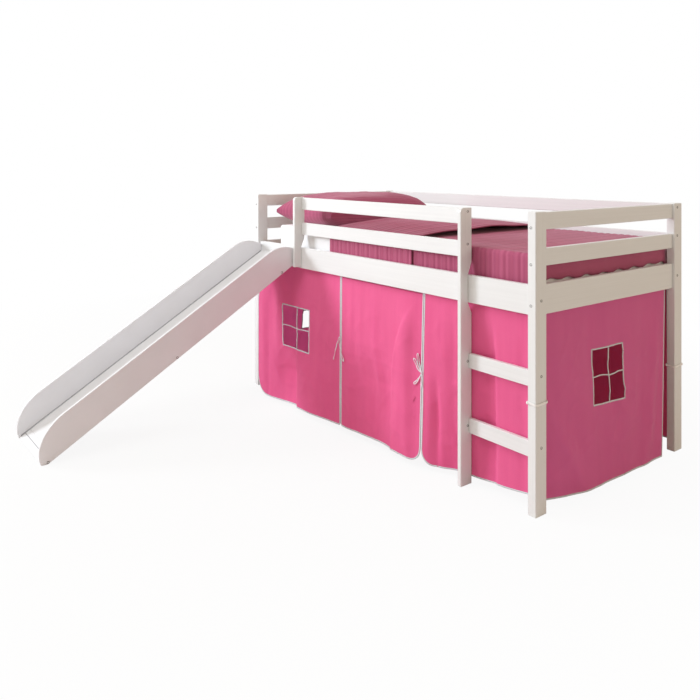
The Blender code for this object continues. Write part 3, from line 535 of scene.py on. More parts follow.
bolts = [bolt(at(x, y, z), outward) for x, y, outward, heights in BOLT_COLUMNS for z in heights]
for y, z in SLIDE_SCREWS:
    bolts += [bolt(at(x, y, z), outward, SCREW_RADIUS) for x, outward in SLIDE_SIDES]
add_piece("bed_bolts", join(bolts), BLACKENED, smooth=False)
print(len(bolts), "bolts placed")

# %% [markdown]
# Narrow grey strips paint the shadow gap along each joint of the slide's bed and its sides, and a
# thin grey strip near the bed's foot paints the shaded edge of its toe. The joint is read from the
# bed's own corners, and a small hollow profile is swept along it.

# %% The slide's joints
SHADOW_STRIP_RADIUS = 4.0 * MM
SHADOW_STRIP_CLEAR = 0.3 * MM
JOINT_PITCH = 40 * MM
JOINT_WALL = 0.6 * MM
LIP_WIDTH = 3 * MM
LIP_PLACE = 20 * MM
LIP_CLEAR = 0.5 * MM
LIP_PITCH = 20 * MM
EDGE_REACH = 6 * MM

bed_low, bed_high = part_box("slide_bed")
corners = [vert.co for vert in nodes["slide_bed"].data.vertices if vert.co.x < bed_low.x + 1 * MM]
bed_toe = max((c for c in corners if c.y < bed_low.y + EDGE_REACH), key=lambda c: c.z)
bed_top = max(corners, key=lambda c: c.z)
bed_run = (bed_top - bed_toe).length
uphill = (bed_top - bed_toe).normalized()
foot_run = (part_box("slide_crossbar_1")[0].y + EDGE_REACH - bed_toe.y) / uphill.y
bed_normal = uphill.cross(Vector((-1, 0, 0))).normalized()
bed_normal *= math.copysign(1, bed_normal.z)


def shadow_strip_rule(edge_x, inward):
    """The rule for a hollow strip of painted shadow: u goes round its profile, v goes up the slide.
    """
    def place(u, v):
        angle = math.pi / 2 * u
        across, lift = SHADOW_STRIP_RADIUS * (1 - math.sin(angle)), SHADOW_STRIP_RADIUS * (1 - math.cos(angle))
        spot = bed_toe + uphill * v + bed_normal * (lift + SHADOW_STRIP_CLEAR)
        return Vector((edge_x + inward * across, spot.y, spot.z))

    return place


def lip_place(u, v):
    """A point of the painted shade line near the bed's foot, across the slide."""
    spot = bed_toe + uphill * (foot_run + LIP_PLACE + LIP_WIDTH * v) + bed_normal * LIP_CLEAR
    return Vector((u, spot.y, spot.z))


up_the_slide = evenly(foot_run, bed_run - SHADOW_STRIP_RADIUS, JOINT_PITCH)
joints = [
    grid_of(evenly(0, 1, 0.25), up_the_slide, shadow_strip_rule(*edge))
    for edge in ((bed_low.x, 1), (bed_high.x, -1))]
joints.append(grid_of(evenly(bed_low.x, bed_high.x, LIP_PITCH), [0.1, 0.5, 1.0], lip_place))
# Grey strips that paint the shadow in the slide's joints and on the shaded edge of its foot.
grey = melamine("grey_painted_shadow_line", "#96979A", "#A6A7AA")
add_piece("slide_joint_painted_shadow", join(joints), grey, wall=JOINT_WALL)
print("slide joints", round(bed_run, 3), "m long")

# %% [markdown]
# The tent's cloth is wider at its hem than at its top, so it swings out from the rail as it falls.
# Each panel is a fine grid. Its points are placed by one rule: how far down a point is sets how far
# the cloth has swung out, and soft ridges and small creases ride on that.

# %% How the tent hangs
TENT_TOP_Z = 743 * MM
TENT_KINK_Z = 720 * MM
SEAT = 0.6 * MM + 1.25 * MM
CLOTH_PITCH = 9 * MM
CLOTH = 1.6 * MM
TAPE_WIDTH = 6 * MM
TAPE_THICKNESS = 2.6 * MM
END_HANG = 1.5
PRESS, PRESS_WIDTH = 1.6 * MM, 9 * MM
CREASE_RUN = 200 * MM


def drop(z):
    """How far down the hanging cloth a height is, from 0 at the rail to 1 at the floor."""
    return max(0.0, TENT_KINK_Z - z) / TENT_KINK_Z


def corner_lift(distance, radius):
    """How far a rounded lower corner rises, near the panel's edge."""
    if distance >= radius:
        return 0.0
    share = 1 - distance / radius
    return radius * (1 - math.sqrt(max(0.0, 1 - share * share)))


def swell(value, centre, left, right=None):
    """A soft ridge, 1 at its centre, whose two flanks may differ in width."""
    width = right if right and value >= centre else left
    return math.exp(-(((value - centre) / width) ** 2))


def creases(u, z, seed):
    """Small wrinkles in metres: long soft ones and two sets of sharp ones that cross."""
    soft = noise.fractal(Vector((u * 5 + seed, z * 2.4, seed * 0.7)), 1.0, 2.0, 3)
    sharp = 1 - abs(noise.noise(Vector((u * 7 + z * 4 + seed, z * 6 - u * 3, seed * 1.3)))) * 2
    cross = 1 - abs(noise.noise(Vector((u * 6 - z * 7 + seed, z * 3 + u * 5, seed * 2.1)))) * 2
    return 3.2 * MM * soft + 2.4 * MM * max(0.0, sharp) ** 5 + 2.0 * MM * max(0.0, cross) ** 6


def pressed(value, lines):
    """The shallow sharp folds that cloth keeps from its packing."""
    return sum(PRESS * math.exp(-abs(value - line) / PRESS_WIDTH) for line in lines)


def ramp_to(value, start, run):
    """How much of a run is done at a value: 0 at its start, 1 at its end."""
    return min(1.0, max(0.0, value - start) / run)


def waves(ridges, share, down):
    """What a panel's ridges add at a point. A ridge may lean as it rises from the hem."""
    return sum(
        depth * swell(share, centre + slant * (1 - down), spread)
        for centre, slant, spread, depth in ridges)


# %% [markdown]
# The front is three panels between two slits. A panel is described by its two edges, how far each
# swings out, the heights of its hem, its rounded corners, its ridges and its folds.

# %% How a front panel is placed
FLAT_FROM_X = 1600 * MM
FOLD_RUN = 150 * MM
INWARD_MOST = 25 * MM
STOP_GAP = 3 * MM


def front_place(edges, flares, hems, corners, ridges, folds, lines, seed):
    """The rules that place a front panel's points and its hem, and its width at the hem."""
    left, right = edges
    width = right[1] - left[1]

    def hem_at(share):
        lift = max(
            corner_lift(share * width, corners[0]), corner_lift((1 - share) * width, corners[1]))
        rise = share if corners[1] else share ** 2.5
        return hems[0] + (hems[1] - hems[0]) * rise + lift

    def place(share, z):
        down = drop(z)
        x_left = max(left[0] + (left[1] - left[0]) * down, POST_WIDTH + 1.5 * MM)
        x_right = right[0] + (right[1] - right[0]) * down
        x = x_left + (x_right - x_left) * share
        flare = flares[0] + (flares[1] - flares[0]) * share
        if flares[1] == 0:
            rest = ramp_to(x, x_left, FLAT_FROM_X - x_left)
            flare = flares[0] * (1 - rest * rest * (3 - 2 * rest))
        out = waves(ridges, share, down)
        for centre, slant, left_width, right_width, high_z, depth in folds:
            line = centre + slant * (1 - down) ** 4
            grown = depth * ramp_to(high_z, z, FOLD_RUN)
            out += grown * swell(share, line, left_width, right_width)
        edge = min(1.0, 6 * min(share, 1 - share) + 0.15)
        fade = ramp_to(TENT_KINK_Z, z, CREASE_RUN)
        stiff = 0.35 + 0.65 * ramp_to(z, 20 * MM, 160 * MM)
        out = out * edge * fade ** 0.7 * stiff
        small = (creases(share * width, z, seed) + pressed(z, lines)) * edge * fade
        y = RAIL_INNER + SEAT - flare * down - out - small
        if flares[1] == 0 and x > FLAT_FROM_X - 10 * MM:
            y = max(y, RAIL_INNER + 2 * MM)
        return at(x, min(y, RAIL_INNER + SEAT + INWARD_MOST), z)

    return place, hem_at, width


# %% [markdown]
# Every edge of the cloth is bound with a narrow pale tape. A tape is a thin strip that the same
# rule places, so it lies on the cloth wherever that swings.

# %% Taped edges
TAPE_STEP = 12 * MM
LEAST_STEP = 4 * MM
HEM_PARTS = 160


def panel_bands(place, hem_at, width, both_sides):
    """The taped edge of a front panel: down one side, along the hem and up the other side."""
    path = [(0.0, z) for z in evenly(TENT_TOP_Z, hem_at(0.0), TAPE_STEP)]
    shares = [i / HEM_PARTS for i in range(1, HEM_PARTS)]
    path += [(share * width, hem_at(share)) for share in shares]
    path.append((width, hem_at(1.0)))
    if both_sides:
        path += [(width, z) for z in evenly(hem_at(1.0), TENT_TOP_Z, TAPE_STEP)[1:]]
    spots = [path[0]]
    for spot in path[1:]:
        if math.dist(spot, spots[-1]) > LEAST_STEP:
            spots.append(spot)
    inward = []
    for before, after in zip([spots[0]] + spots, spots[1:] + [spots[-1]]):
        run = Vector((after[0] - before[0], after[1] - before[1])).normalized()
        inward.append(Vector((-run.y, run.x)))

    def band_place(u, v):
        spot = Vector(spots[v]) + inward[v] * u
        return place(min(1.0, max(0.0, spot.x / width)), min(spot.y, TENT_TOP_Z))

    return grid_of([0, TAPE_WIDTH / 2, TAPE_WIDTH], list(range(len(spots))), band_place)


# %% [markdown]
# A window is an opening in the grid with a taped border and two bars across it. The bars are sewn
# at their ends only, so they sag a little, and a rule for each bar bends it.

# %% Windows
BAR_STEP = 8 * MM
BAR_PARTS = 24
BAR_NARROWER = 0.8


def window_tapes(place, spots, sag, aside=0.0):
    """Border and bars of a window, from its stops across and down. Aside moves the upright bar."""
    s0, s1, z0, z1, half_s = spots
    middle_s, middle_z = (s0 + s1) / 2 + aside, (z0 + z1) / 2
    parts = []
    half = TAPE_WIDTH / 2
    for z in (z0 - half, z1 + half):
        shares = evenly(s0 - 2 * half_s, s1 + 2 * half_s, (s1 - s0) / BAR_PARTS)
        parts.append(grid_of(shares, [z - half, z, z + half], place))
    for share in (s0 - half_s, s1 + half_s):
        heights = evenly(z0 - 2 * half, z1 + 2 * half, BAR_STEP)
        parts.append(grid_of([share - half_s, share, share + half_s], heights, place))

    def level_bar(share, offset):
        across = (share - s0) / (s1 - s0)
        dip = sag * math.sin(math.pi * across) * math.sin(2.3 * math.pi * across + 0.4)
        return place(share, middle_z + dip + offset)

    def upright_bar(offset, z):
        up = (z - z0) / (z1 - z0)
        sway = sag / MM * half_s / 4.5 * math.sin(math.pi * up) * math.sin(2.1 * math.pi * up)
        return place(middle_s + sway + offset, z)

    shares = evenly(s0, s1, (s1 - s0) / BAR_PARTS)
    offsets = [-BAR_NARROWER, 0, BAR_NARROWER]
    parts.append(grid_of(shares, [half * offset for offset in offsets], level_bar))
    heights = evenly(z0, z1, BAR_STEP)
    parts.append(grid_of([half_s * offset for offset in offsets], heights, upright_bar))
    return parts


def with_stops(values, stops, gap):
    """A set of grid stops with a window's own two put in, and no other too close to them."""
    return {v for v in values if min(abs(v - stop) for stop in stops) > gap} | set(stops)


def add_panel(name, bm, cotton, body, taped):
    """A panel's cloth and its tapes, and the cloth's area."""
    piece = add_piece(name + "_cloth", bm, cotton, body, [name], CLOTH)
    tapes = add_piece(name + "_tape", join(taped), TAPE, body, wall=TAPE_THICKNESS)
    area = sum(face.area for face in piece.data.polygons)
    print(name, "cloth area", round(area, 3), "square metres")


# %% [markdown]
# The three front panels differ only in their numbers. A ridge is a soft wave from rail to hem, and
# a fold has a steep flank and begins at a height of its own. Both were read from the photograph.

# %% The front panels
HEM_EASE = 300 * MM
NEAR_EDGE = (1, 3, 7, 14, 24, 36, 48)


def add_front(name, rule, both_sides, body, window=None, top_z=TENT_TOP_Z):
    """A front panel with its tapes. Its lowest rows are eased onto the hem's own line."""
    place, hem_at, width = rule
    flat_low = hem_at(0.5)
    columns = set(evenly(0, 1, CLOTH_PITCH / width))
    columns |= {s for d in NEAR_EDGE for s in (d * MM / width, 1 - d * MM / width)}
    rows = set(evenly(0, 1, CLOTH_PITCH / top_z))
    taped = [panel_bands(place, hem_at, width, both_sides)]
    hole = None
    if window:
        s0, s1, z0, z1 = window
        stops = [(z - flat_low) / (top_z - flat_low) for z in (z0, z1)]
        columns = with_stops(columns, (s0, s1), STOP_GAP / width)
        rows = with_stops(rows, stops, 0.004)
        hole = (s0, s1, *stops)
        taped += window_tapes(
            place, (*window, TAPE_WIDTH / 2 / width), 3.5 * MM, 11 * MM / width)

    def grid_place(share, row):
        z = flat_low + (top_z - flat_low) * row
        if z < HEM_EASE:
            low = hem_at(share)
            z = low + (HEM_EASE - low) * (z - flat_low) / (HEM_EASE - flat_low)
        return place(share, z)

    bm = grid_of(sorted(columns), sorted(rows), grid_place, hole)
    add_panel(name, bm, TENT_COTTON, body, taped)


SLIT_HEAD = (790.6 * MM, 910.6 * MM)
SLIT_FOOT = (1386 * MM, 1444 * MM)
HALF_SLIT = 1.5 * MM


def moved(edge, amount):
    """An edge moved along the bed."""
    return (edge[0] + amount, edge[1] + amount)


head_ridges = (
    (0.06, 0.02, 0.05, 12 * MM), (0.24, 0.08, 0.05, 7 * MM), (0.95, 0.0, 0.05, 5 * MM))
head_folds = (
    (0.475, 0.0, 0.20, 0.022, 325 * MM, -52 * MM), (0.18, 0.0, 0.02, 0.05, 330 * MM, 5 * MM),
    (0.64, 0.0, 0.10, 0.26, 310 * MM, 20 * MM))
head_rule = front_place(
    ((-20 * MM, 176 * MM), moved(SLIT_HEAD, -HALF_SLIT)), (115 * MM, 94 * MM),
    (13 * MM, 31 * MM), (105 * MM, 12 * MM), head_ridges, head_folds, (205 * MM,), 3.1)
window_share = (0.3444, 0.6484)
add_front("tent_front_head", head_rule, True, "root", (*window_share, 306 * MM, 510 * MM))

door_ridges = (
    (0.10, 0.03, 0.06, 7 * MM), (0.30, -0.06, 0.05, 4 * MM), (0.47, -0.02, 0.04, 5 * MM),
    (0.86, -0.04, 0.08, 13 * MM))
door_folds = (
    (0.66, 0.34, 0.014, 0.17, 700 * MM, 15 * MM), (0.52, 0.0, 0.34, 0.15, 430 * MM, -34 * MM),
    (0.46, -0.1, 0.02, 0.05, 260 * MM, -6 * MM))
door_rule = front_place(
    (moved(SLIT_HEAD, HALF_SLIT), moved(SLIT_FOOT, -HALF_SLIT)), (94 * MM, 79 * MM),
    (31 * MM, 24 * MM), (12 * MM, 60 * MM), door_ridges, door_folds, (372 * MM,), 8.4)
add_front("tent_door", door_rule, True, "door", None, 718 * MM)

foot_ridges = (
    (0.20, 0.03, 0.06, 8 * MM), (0.36, 0.02, 0.05, 8 * MM), (0.80, 0.0, 0.06, 7 * MM),
    (0.93, 0.0, 0.05, -6 * MM))
foot_folds = (
    (0.13, 0.0, 0.12, 0.02, 400 * MM, -20 * MM), (0.06, 0.0, 0.02, 0.06, 440 * MM, 8 * MM),
    (0.66, 0.02, 0.13, 0.016, 700 * MM, -18 * MM))
foot_rule = front_place(
    (moved(SLIT_FOOT, HALF_SLIT), (1953 * MM, 1953 * MM)), (79 * MM, 0),
    (24 * MM, 58 * MM), (60 * MM, 0), foot_ridges, foot_folds, (372 * MM,), 5.7)
add_front("tent_front_foot", foot_rule, False, "root")

# %% [markdown]
# The end panels and the back are made by the same rule, turned to their side of the bed. The foot
# end shows a long fold that curves down from the cord at the post, and the pressed lines of its
# packing.

# %% The end panels and the back
SIDE_HEM_Z = 30 * MM


def side_place(start, stops, flare, rise, ridges, lines, seed, to_point):
    """The rule that places the points of a panel on an end or at the back, and its width."""
    width = stops[0] - start

    def place(share, z):
        down = drop(z) ** END_HANG
        along = start + (stops[0] + (stops[1] - stops[0]) * down - start) * share
        swing = flare * math.sin(math.pi / 2 * min(1.0, share * rise)) * down
        out = waves(ridges, share, down)
        edge = min(1.0, 6 * min(share, 1 - share) + 0.1)
        fade = ramp_to(TENT_KINK_Z, z, CREASE_RUN)
        small = 1.6 * creases(share * width, z, seed) + pressed(z, lines[0])
        small += pressed(share * width, lines[1])
        stiff = 0.25 + 0.75 * ramp_to(z, SIDE_HEM_Z, 170 * MM)
        return to_point(along, swing + (out * fade ** 0.7 + small * fade) * edge * stiff, z)

    return place, width


def add_side(name, rule, window, cotton):
    """A panel of the ends or the back, with its hem taped."""
    place, width = rule
    columns = set(evenly(0, 1, CLOTH_PITCH / width))
    rows = set(evenly(SIDE_HEM_Z, TENT_TOP_Z, CLOTH_PITCH))
    half, side = TAPE_WIDTH / 2, TAPE_WIDTH / width
    hem_rows = [SIDE_HEM_Z, SIDE_HEM_Z + half, SIDE_HEM_Z + 2 * half]
    heights = evenly(SIDE_HEM_Z, TENT_TOP_Z, TAPE_STEP)
    taped = [grid_of(evenly(0, 1, TAPE_STEP / width), hem_rows, place)]
    taped += [grid_of([s, s + side / 2, s + side], heights, place) for s in (0, 1 - side)]
    if window:
        columns = with_stops(columns, window[:2], STOP_GAP / width)
        rows = with_stops(rows, window[2:], STOP_GAP)
        taped += window_tapes(place, (*window, half / width), 5 * MM)
    bm = grid_of(sorted(columns), sorted(rows), place, window)
    add_panel(name, bm, cotton, "root", taped)


END_START = 74 * MM
END_STOPS = (950 * MM, 805 * MM)
foot_x = BED_LENGTH - RAIL_INNER - SEAT
head_x = RAIL_INNER + SEAT
back_y = BED_WIDTH - RAIL_INNER - SEAT

end_ridges = (
    (0.10, 0.0, 0.05, 8 * MM), (0.30, -0.42, 0.05, 17 * MM), (0.62, 0.05, 0.08, 9 * MM),
    (0.80, 0.14, 0.05, 14 * MM), (0.93, 0.06, 0.04, -9 * MM), (0.46, -0.12, 0.05, -9 * MM))
foot_end = side_place(
    END_START, END_STOPS, 66 * MM, 2.6, end_ridges,
    ((365 * MM, 190 * MM, 560 * MM), (430 * MM, 700 * MM)), 12.6,
    lambda along, out, z: at(foot_x + out, along, z))
foot_window = (0.3765, 0.6006, 327 * MM, 536 * MM)
add_side("tent_foot", foot_end, foot_window, END_COTTON_PAINTED_SHADE_GLOW)

head_end = side_place(
    END_START, END_STOPS, 33 * MM, 2.6, end_ridges,
    ((365 * MM, 190 * MM), (430 * MM,)), 17.2,
    lambda along, out, z: at(head_x - out, along, z))
head_window = (0.2985, 0.5248, 283 * MM, 495 * MM)
add_side("tent_head", head_end, head_window, END_COTTON_PAINTED_SHADE_GLOW)

back_start = POST_WIDTH + 12 * MM
back_ridges = [
    (0.04 + 0.088 * i, 0.03 * math.sin(2.1 * i), 0.028, (9 + 4 * math.sin(1.7 * i)) * MM)
    for i in range(12)]
back_panel = side_place(
    back_start, (BED_LENGTH - back_start, BED_LENGTH - back_start), 30 * MM, 9.0,
    back_ridges, ((365 * MM,), (480 * MM, 950 * MM, 1420 * MM)), 23.9,
    lambda along, out, z: at(along, back_y + out, z))
add_side("tent_back", back_panel, None, TENT_COTTON)

# %% [markdown]
# Above the door, the tent's top hem stays on the rail as a short doubled strip, and the door's
# cloth is sewn to it. It is a folded band, so it is made as one grid that runs down, under and up.

# %% The strip above the door
HEADER_INSET = 0.9 * MM
FRONT_SHORTER = 0.3
low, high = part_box("tent_door_header")


def header_place(u, v):
    """A band folded double, with its fold at the foot."""
    back = v > 0.5
    up = abs(v - 0.5) * 2
    foot = low.z + (high.z - low.z) * (0.0 if back else FRONT_SHORTER)
    y = high.y - HEADER_INSET if back else low.y + HEADER_INSET
    return Vector((low.x + (high.x - low.x) * u, y, foot + (high.z - foot) * up))


header = add_piece(
    "tent_door_header_cloth",
    grid_of(evenly(0, 1, 0.04), [0, 0.25, 0.5, 0.501, 0.75, 1], header_place),
    TENT_COTTON, "root", ["tent_door_header"], 1.2 * MM)
print("header strip", round(high.x - low.x, 3), "m long")

# %% [markdown]
# Ribbon bows close the slits. Each is a narrow ribbon that crosses itself at a small knot, with
# loops and loose tails that follow paths drawn in the plane of the cloth. The paths were traced
# from the photograph, so the two bows differ.

# %% Ribbon bows
BOW_RIBBON = 4.6 * MM
RIBBON_WALL = 1.0 * MM
HEAD_BOW = (
    ((-2, 52), (-8, 54), (-16, 42), (-24, 18), (-32, -6), (-39, -32), (-46, -59)),
    ((-8, 52), (-2, 50), (2, 34), (3, 16), (0, 0), (6, -16), (18, -30), (31, -40), (35, -48),
     (28, -53), (16, -46), (6, -32), (1, -14), (0, 0)),
    ((0, 2), (-6, 14), (-10, 30), (-6, 44), (0, 48)),
)
FOOT_BOW = (
    ((0, 0), (-6, 16), (-12, 34), (-16, 54), (-20, 72), (-24, 74), (-26, 62), (-24, 44),
     (-16, 22), (-6, 6), (0, 0)),
    ((0, 0), (-10, 12), (-22, 30), (-34, 48), (-42, 51), (-40, 42), (-28, 24), (-14, 6), (0, 0)),
    ((0, 0), (-8, -18), (-18, -32), (-30, -42), (-38, -50), (-34, -54), (-24, -46), (-12, -28),
     (0, 0)),
    ((0, 0), (4, -20), (2, -40), (5, -58)),
)


def smooth_path(spots):
    """Points about 2 mm apart on a soft curve through the given ones, in metres."""
    spots = [Vector((x * MM, z * MM)) for x, z in spots]
    spots = [spots[0] * 2 - spots[1]] + spots + [spots[-1] * 2 - spots[-2]]
    path = []
    for a, b, c, d in zip(spots, spots[1:], spots[2:], spots[3:]):
        steps = max(2, round((c - b).length / (2 * MM)))
        for step in range(steps):
            t = step / steps
            path.append(0.5 * (
                2 * b + (c - a) * t + (2 * a - 5 * b + 4 * c - d) * t * t
                + (3 * b - a - 3 * c + d) * t ** 3))
    return path + [spots[-2]]


def add_bow(name, rule, share, z, strands):
    """A bow that sits at a slit, on the door's side of it."""
    place = rule[0]
    point = place(share, z)
    up = (place(share, z + 20 * MM) - place(share, z - 20 * MM)).normalized()
    out = Vector((0, -1, 0))
    out = (out - up * out.dot(up)).normalized()
    across = Vector((1, 0, 0))
    parts = []
    for number, strand in enumerate(strands):
        path = smooth_path(strand)
        points, sides = [], []
        for i, spot in enumerate(path):
            before, after = path[max(0, i - 1)], path[min(len(path) - 1, i + 1)]
            run = (after - before).normalized()
            way = across * -run.y + up * run.x
            lift = (2.6 + 0.7 * number + 0.9 * math.sin(i * 0.35 + number)) * MM
            lift += 0.2 * abs(spot.x)
            points.append(point + across * spot.x + up * spot.y + out * lift)
            sides.append((way + out * 0.5 * math.sin(i * 0.16 + number)).normalized())
        parts.append(ribbon(points, sides, BOW_RIBBON))
    add_piece(
        name + "_ribbon", join(parts), TIE, "door", [name], RIBBON_WALL)
    add_knot(
        name + "_knot", point + out * 3.4 * MM, 4.5 * MM, (1, 0.7, 1.2), TIE, "door", 0.12)
    print(name, "made of", len(parts), "ribbons")


add_bow("tent_bow_head", door_rule, 0.0, 378 * MM, HEAD_BOW)
add_bow("tent_bow_foot", door_rule, 1.0, 390 * MM, FOOT_BOW)

# %% [markdown]
# Elastic bands hold the tent's corners against the posts. Each is a loop, tied at the post's outer
# corner. A flat band is swept round the post, a little wavy, and its ends are merged.

# %% Elastic bands round the posts
LOOP_REACH = 3.2 * MM
LOOP_TURN = 5 * MM
LOOP_HALVES = (4 * MM, 1.3 * MM)
LOOP_WALL = 2.2 * MM


def add_loop(name, x, y, z, seed):
    """A loop of flat elastic with a small knot, round one post."""
    inset = LOOP_TURN - LOOP_REACH
    near_x, far_x = x + inset, x + POST_WIDTH - inset
    near_y, far_y = y + inset, y + POST_DEPTH - inset
    corners = [Vector(spot) for spot in (
        (far_x, far_y), (near_x, far_y), (near_x, near_y), (far_x, near_y))]

    def on_corner(number, share):
        angle = math.pi / 2 * (number + share)
        return corners[number % 4] + LOOP_TURN * Vector((math.cos(angle), math.sin(angle)))

    points = []
    for number in range(4):
        points += [on_corner(number, step / 4) for step in range(5)]
        last, target = points[-1], on_corner(number + 1, 0)
        points += [last.lerp(target, step / 5) for step in range(1, 5)]
    total = len(points)

    def place(u, v):
        wave = 1.6 * MM * math.sin(4 * math.pi * (v % total) / total + seed)
        return at(*points[v % total], z + wave + u)

    wide, narrow = LOOP_HALVES
    band = grid_of([-wide, -narrow, narrow, wide], list(range(total + 1)), place)
    bmesh.ops.remove_doubles(band, verts=band.verts, dist=0.01 * MM)
    add_piece(name + "_band", band, ELASTIC, "root", [name], LOOP_WALL)
    knot_place = at(x + 2 * MM, y - LOOP_REACH - 1.5 * MM, z + 1 * MM)
    add_knot(name + "_knot", knot_place, 5 * MM, (0.9, 0.6, 1.1), ELASTIC, "root")
    around = sum((b - a).length for a, b in zip(points, points[1:] + points[:1]))
    print(name, "is", round(around, 3), "m round")


add_loop("tent_strap_front_foot", BED_LENGTH - POST_WIDTH, 0, 408 * MM, 0.3)
add_loop("tent_strap_back_foot", BED_LENGTH - POST_WIDTH, BED_WIDTH - POST_DEPTH, 379 * MM, 1.1)
add_loop("tent_strap_back_head", 0, BED_WIDTH - POST_DEPTH, 379 * MM, 2.0)

# %% [markdown]
# The mattress wears a fitted cotton sheet. It is a rounded block: a cube is bevelled, divided and
# then pressed and puckered by noise, most of all at its corners, where the elastic gathers the
# cloth.

# %% The mattress in its sheet
SHEET_ROUND = 16 * MM
SHEET_CUTS, SHEET_CUTS_DOWN = 90, 11
SHEET_WAVE, SHEET_SETTLE = 0.6 * MM, 1.2 * MM
PUCKER, CORNER_PUCKER = 1.0 * MM, 2.2 * MM
CORNER_REACH = 260 * MM

low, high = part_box("mattress")
bm = bmesh.new()
bmesh.ops.create_cube(bm, size=1.0)
bmesh.ops.scale(bm, verts=bm.verts, vec=high - low)
bmesh.ops.translate(bm, verts=bm.verts, vec=(low + high) / 2)
bmesh.ops.bevel(
    bm, geom=list(bm.edges), offset=SHEET_ROUND, segments=5, profile=0.5, affect="EDGES",
    material=-1)
long_edges = [edge for edge in bm.edges if edge.calc_length() > 500 * MM]
bmesh.ops.subdivide_edges(bm, edges=long_edges, cuts=SHEET_CUTS, use_grid_fill=True)
tall = [e for e in bm.edges if abs(e.verts[0].co.z - e.verts[1].co.z) > 60 * MM]
bmesh.ops.subdivide_edges(bm, edges=tall, cuts=SHEET_CUTS_DOWN, use_grid_fill=True)
bmesh.ops.triangulate(bm, faces=[face for face in bm.faces if len(face.verts) > 4])
bm.normal_update()
middle = (low + high) / 2
half_size = (high - low) / 2
for vert in bm.verts:
    near_x = max(0.0, 1 - (half_size.x - abs(vert.co.x - middle.x)) / CORNER_REACH)
    pull = SHEET_WAVE * noise.fractal(vert.co * 9, 1.0, 2.0, 3)
    if abs(vert.normal.z) < 0.7:
        pucker = noise.noise(Vector((vert.co.x * 26, vert.co.y * 26, vert.co.z * 3)))
        pull -= (PUCKER + CORNER_PUCKER * near_x) * max(0.0, pucker)
    vert.co += vert.normal * (pull - SHEET_SETTLE)
lay_uv(bm, lambda point: (point.x + point.z, point.y))
mattress = add_piece(
    "mattress_sheet", bm, SHEET_COTTON, "root", ["mattress"])
print("mattress", len(mattress.data.polygons), "faces")

# %% [markdown]
# The quilt is two cloths with wadding between, sewn in channels across the bed. A fine grid lies on
# the mattress. Its free edges are extruded ring by ring over the shoulder and down the drop, so the
# cloth stays one surface. Then each point is puffed out between two seams.

# %% How a quilted cover drapes
CHANNEL = 35 * MM
PUFF = 3.4 * MM
# The height, as a share of a puff, from which a cover's points are moved.
PUFF_MEAN = 0.55
QUILT_THICKNESS = 5 * MM
QUILT_OVER = 0.3 * MM + 3 * MM
QUILT_PITCH = 22 * MM
RIM = 12 * MM
# Each ring of the shoulder moves out and down by these shares of the rim.
SHOULDER_SHARES = ((0.30, 0.05), (0.27, 0.17), (0.25, 0.30), (0.18, 0.48))
FALLS = 9
DROP_SIDE_Z, DROP_FOOT_Z = 805 * MM, 837 * MM
SCALLOP, SCALLOP_PITCH = 5 * MM, 115 * MM


def puff(distance):
    """How full the wadding is at a distance across the channels: 0 at a seam."""
    return abs(math.sin(math.pi * distance / CHANNEL)) ** 0.7


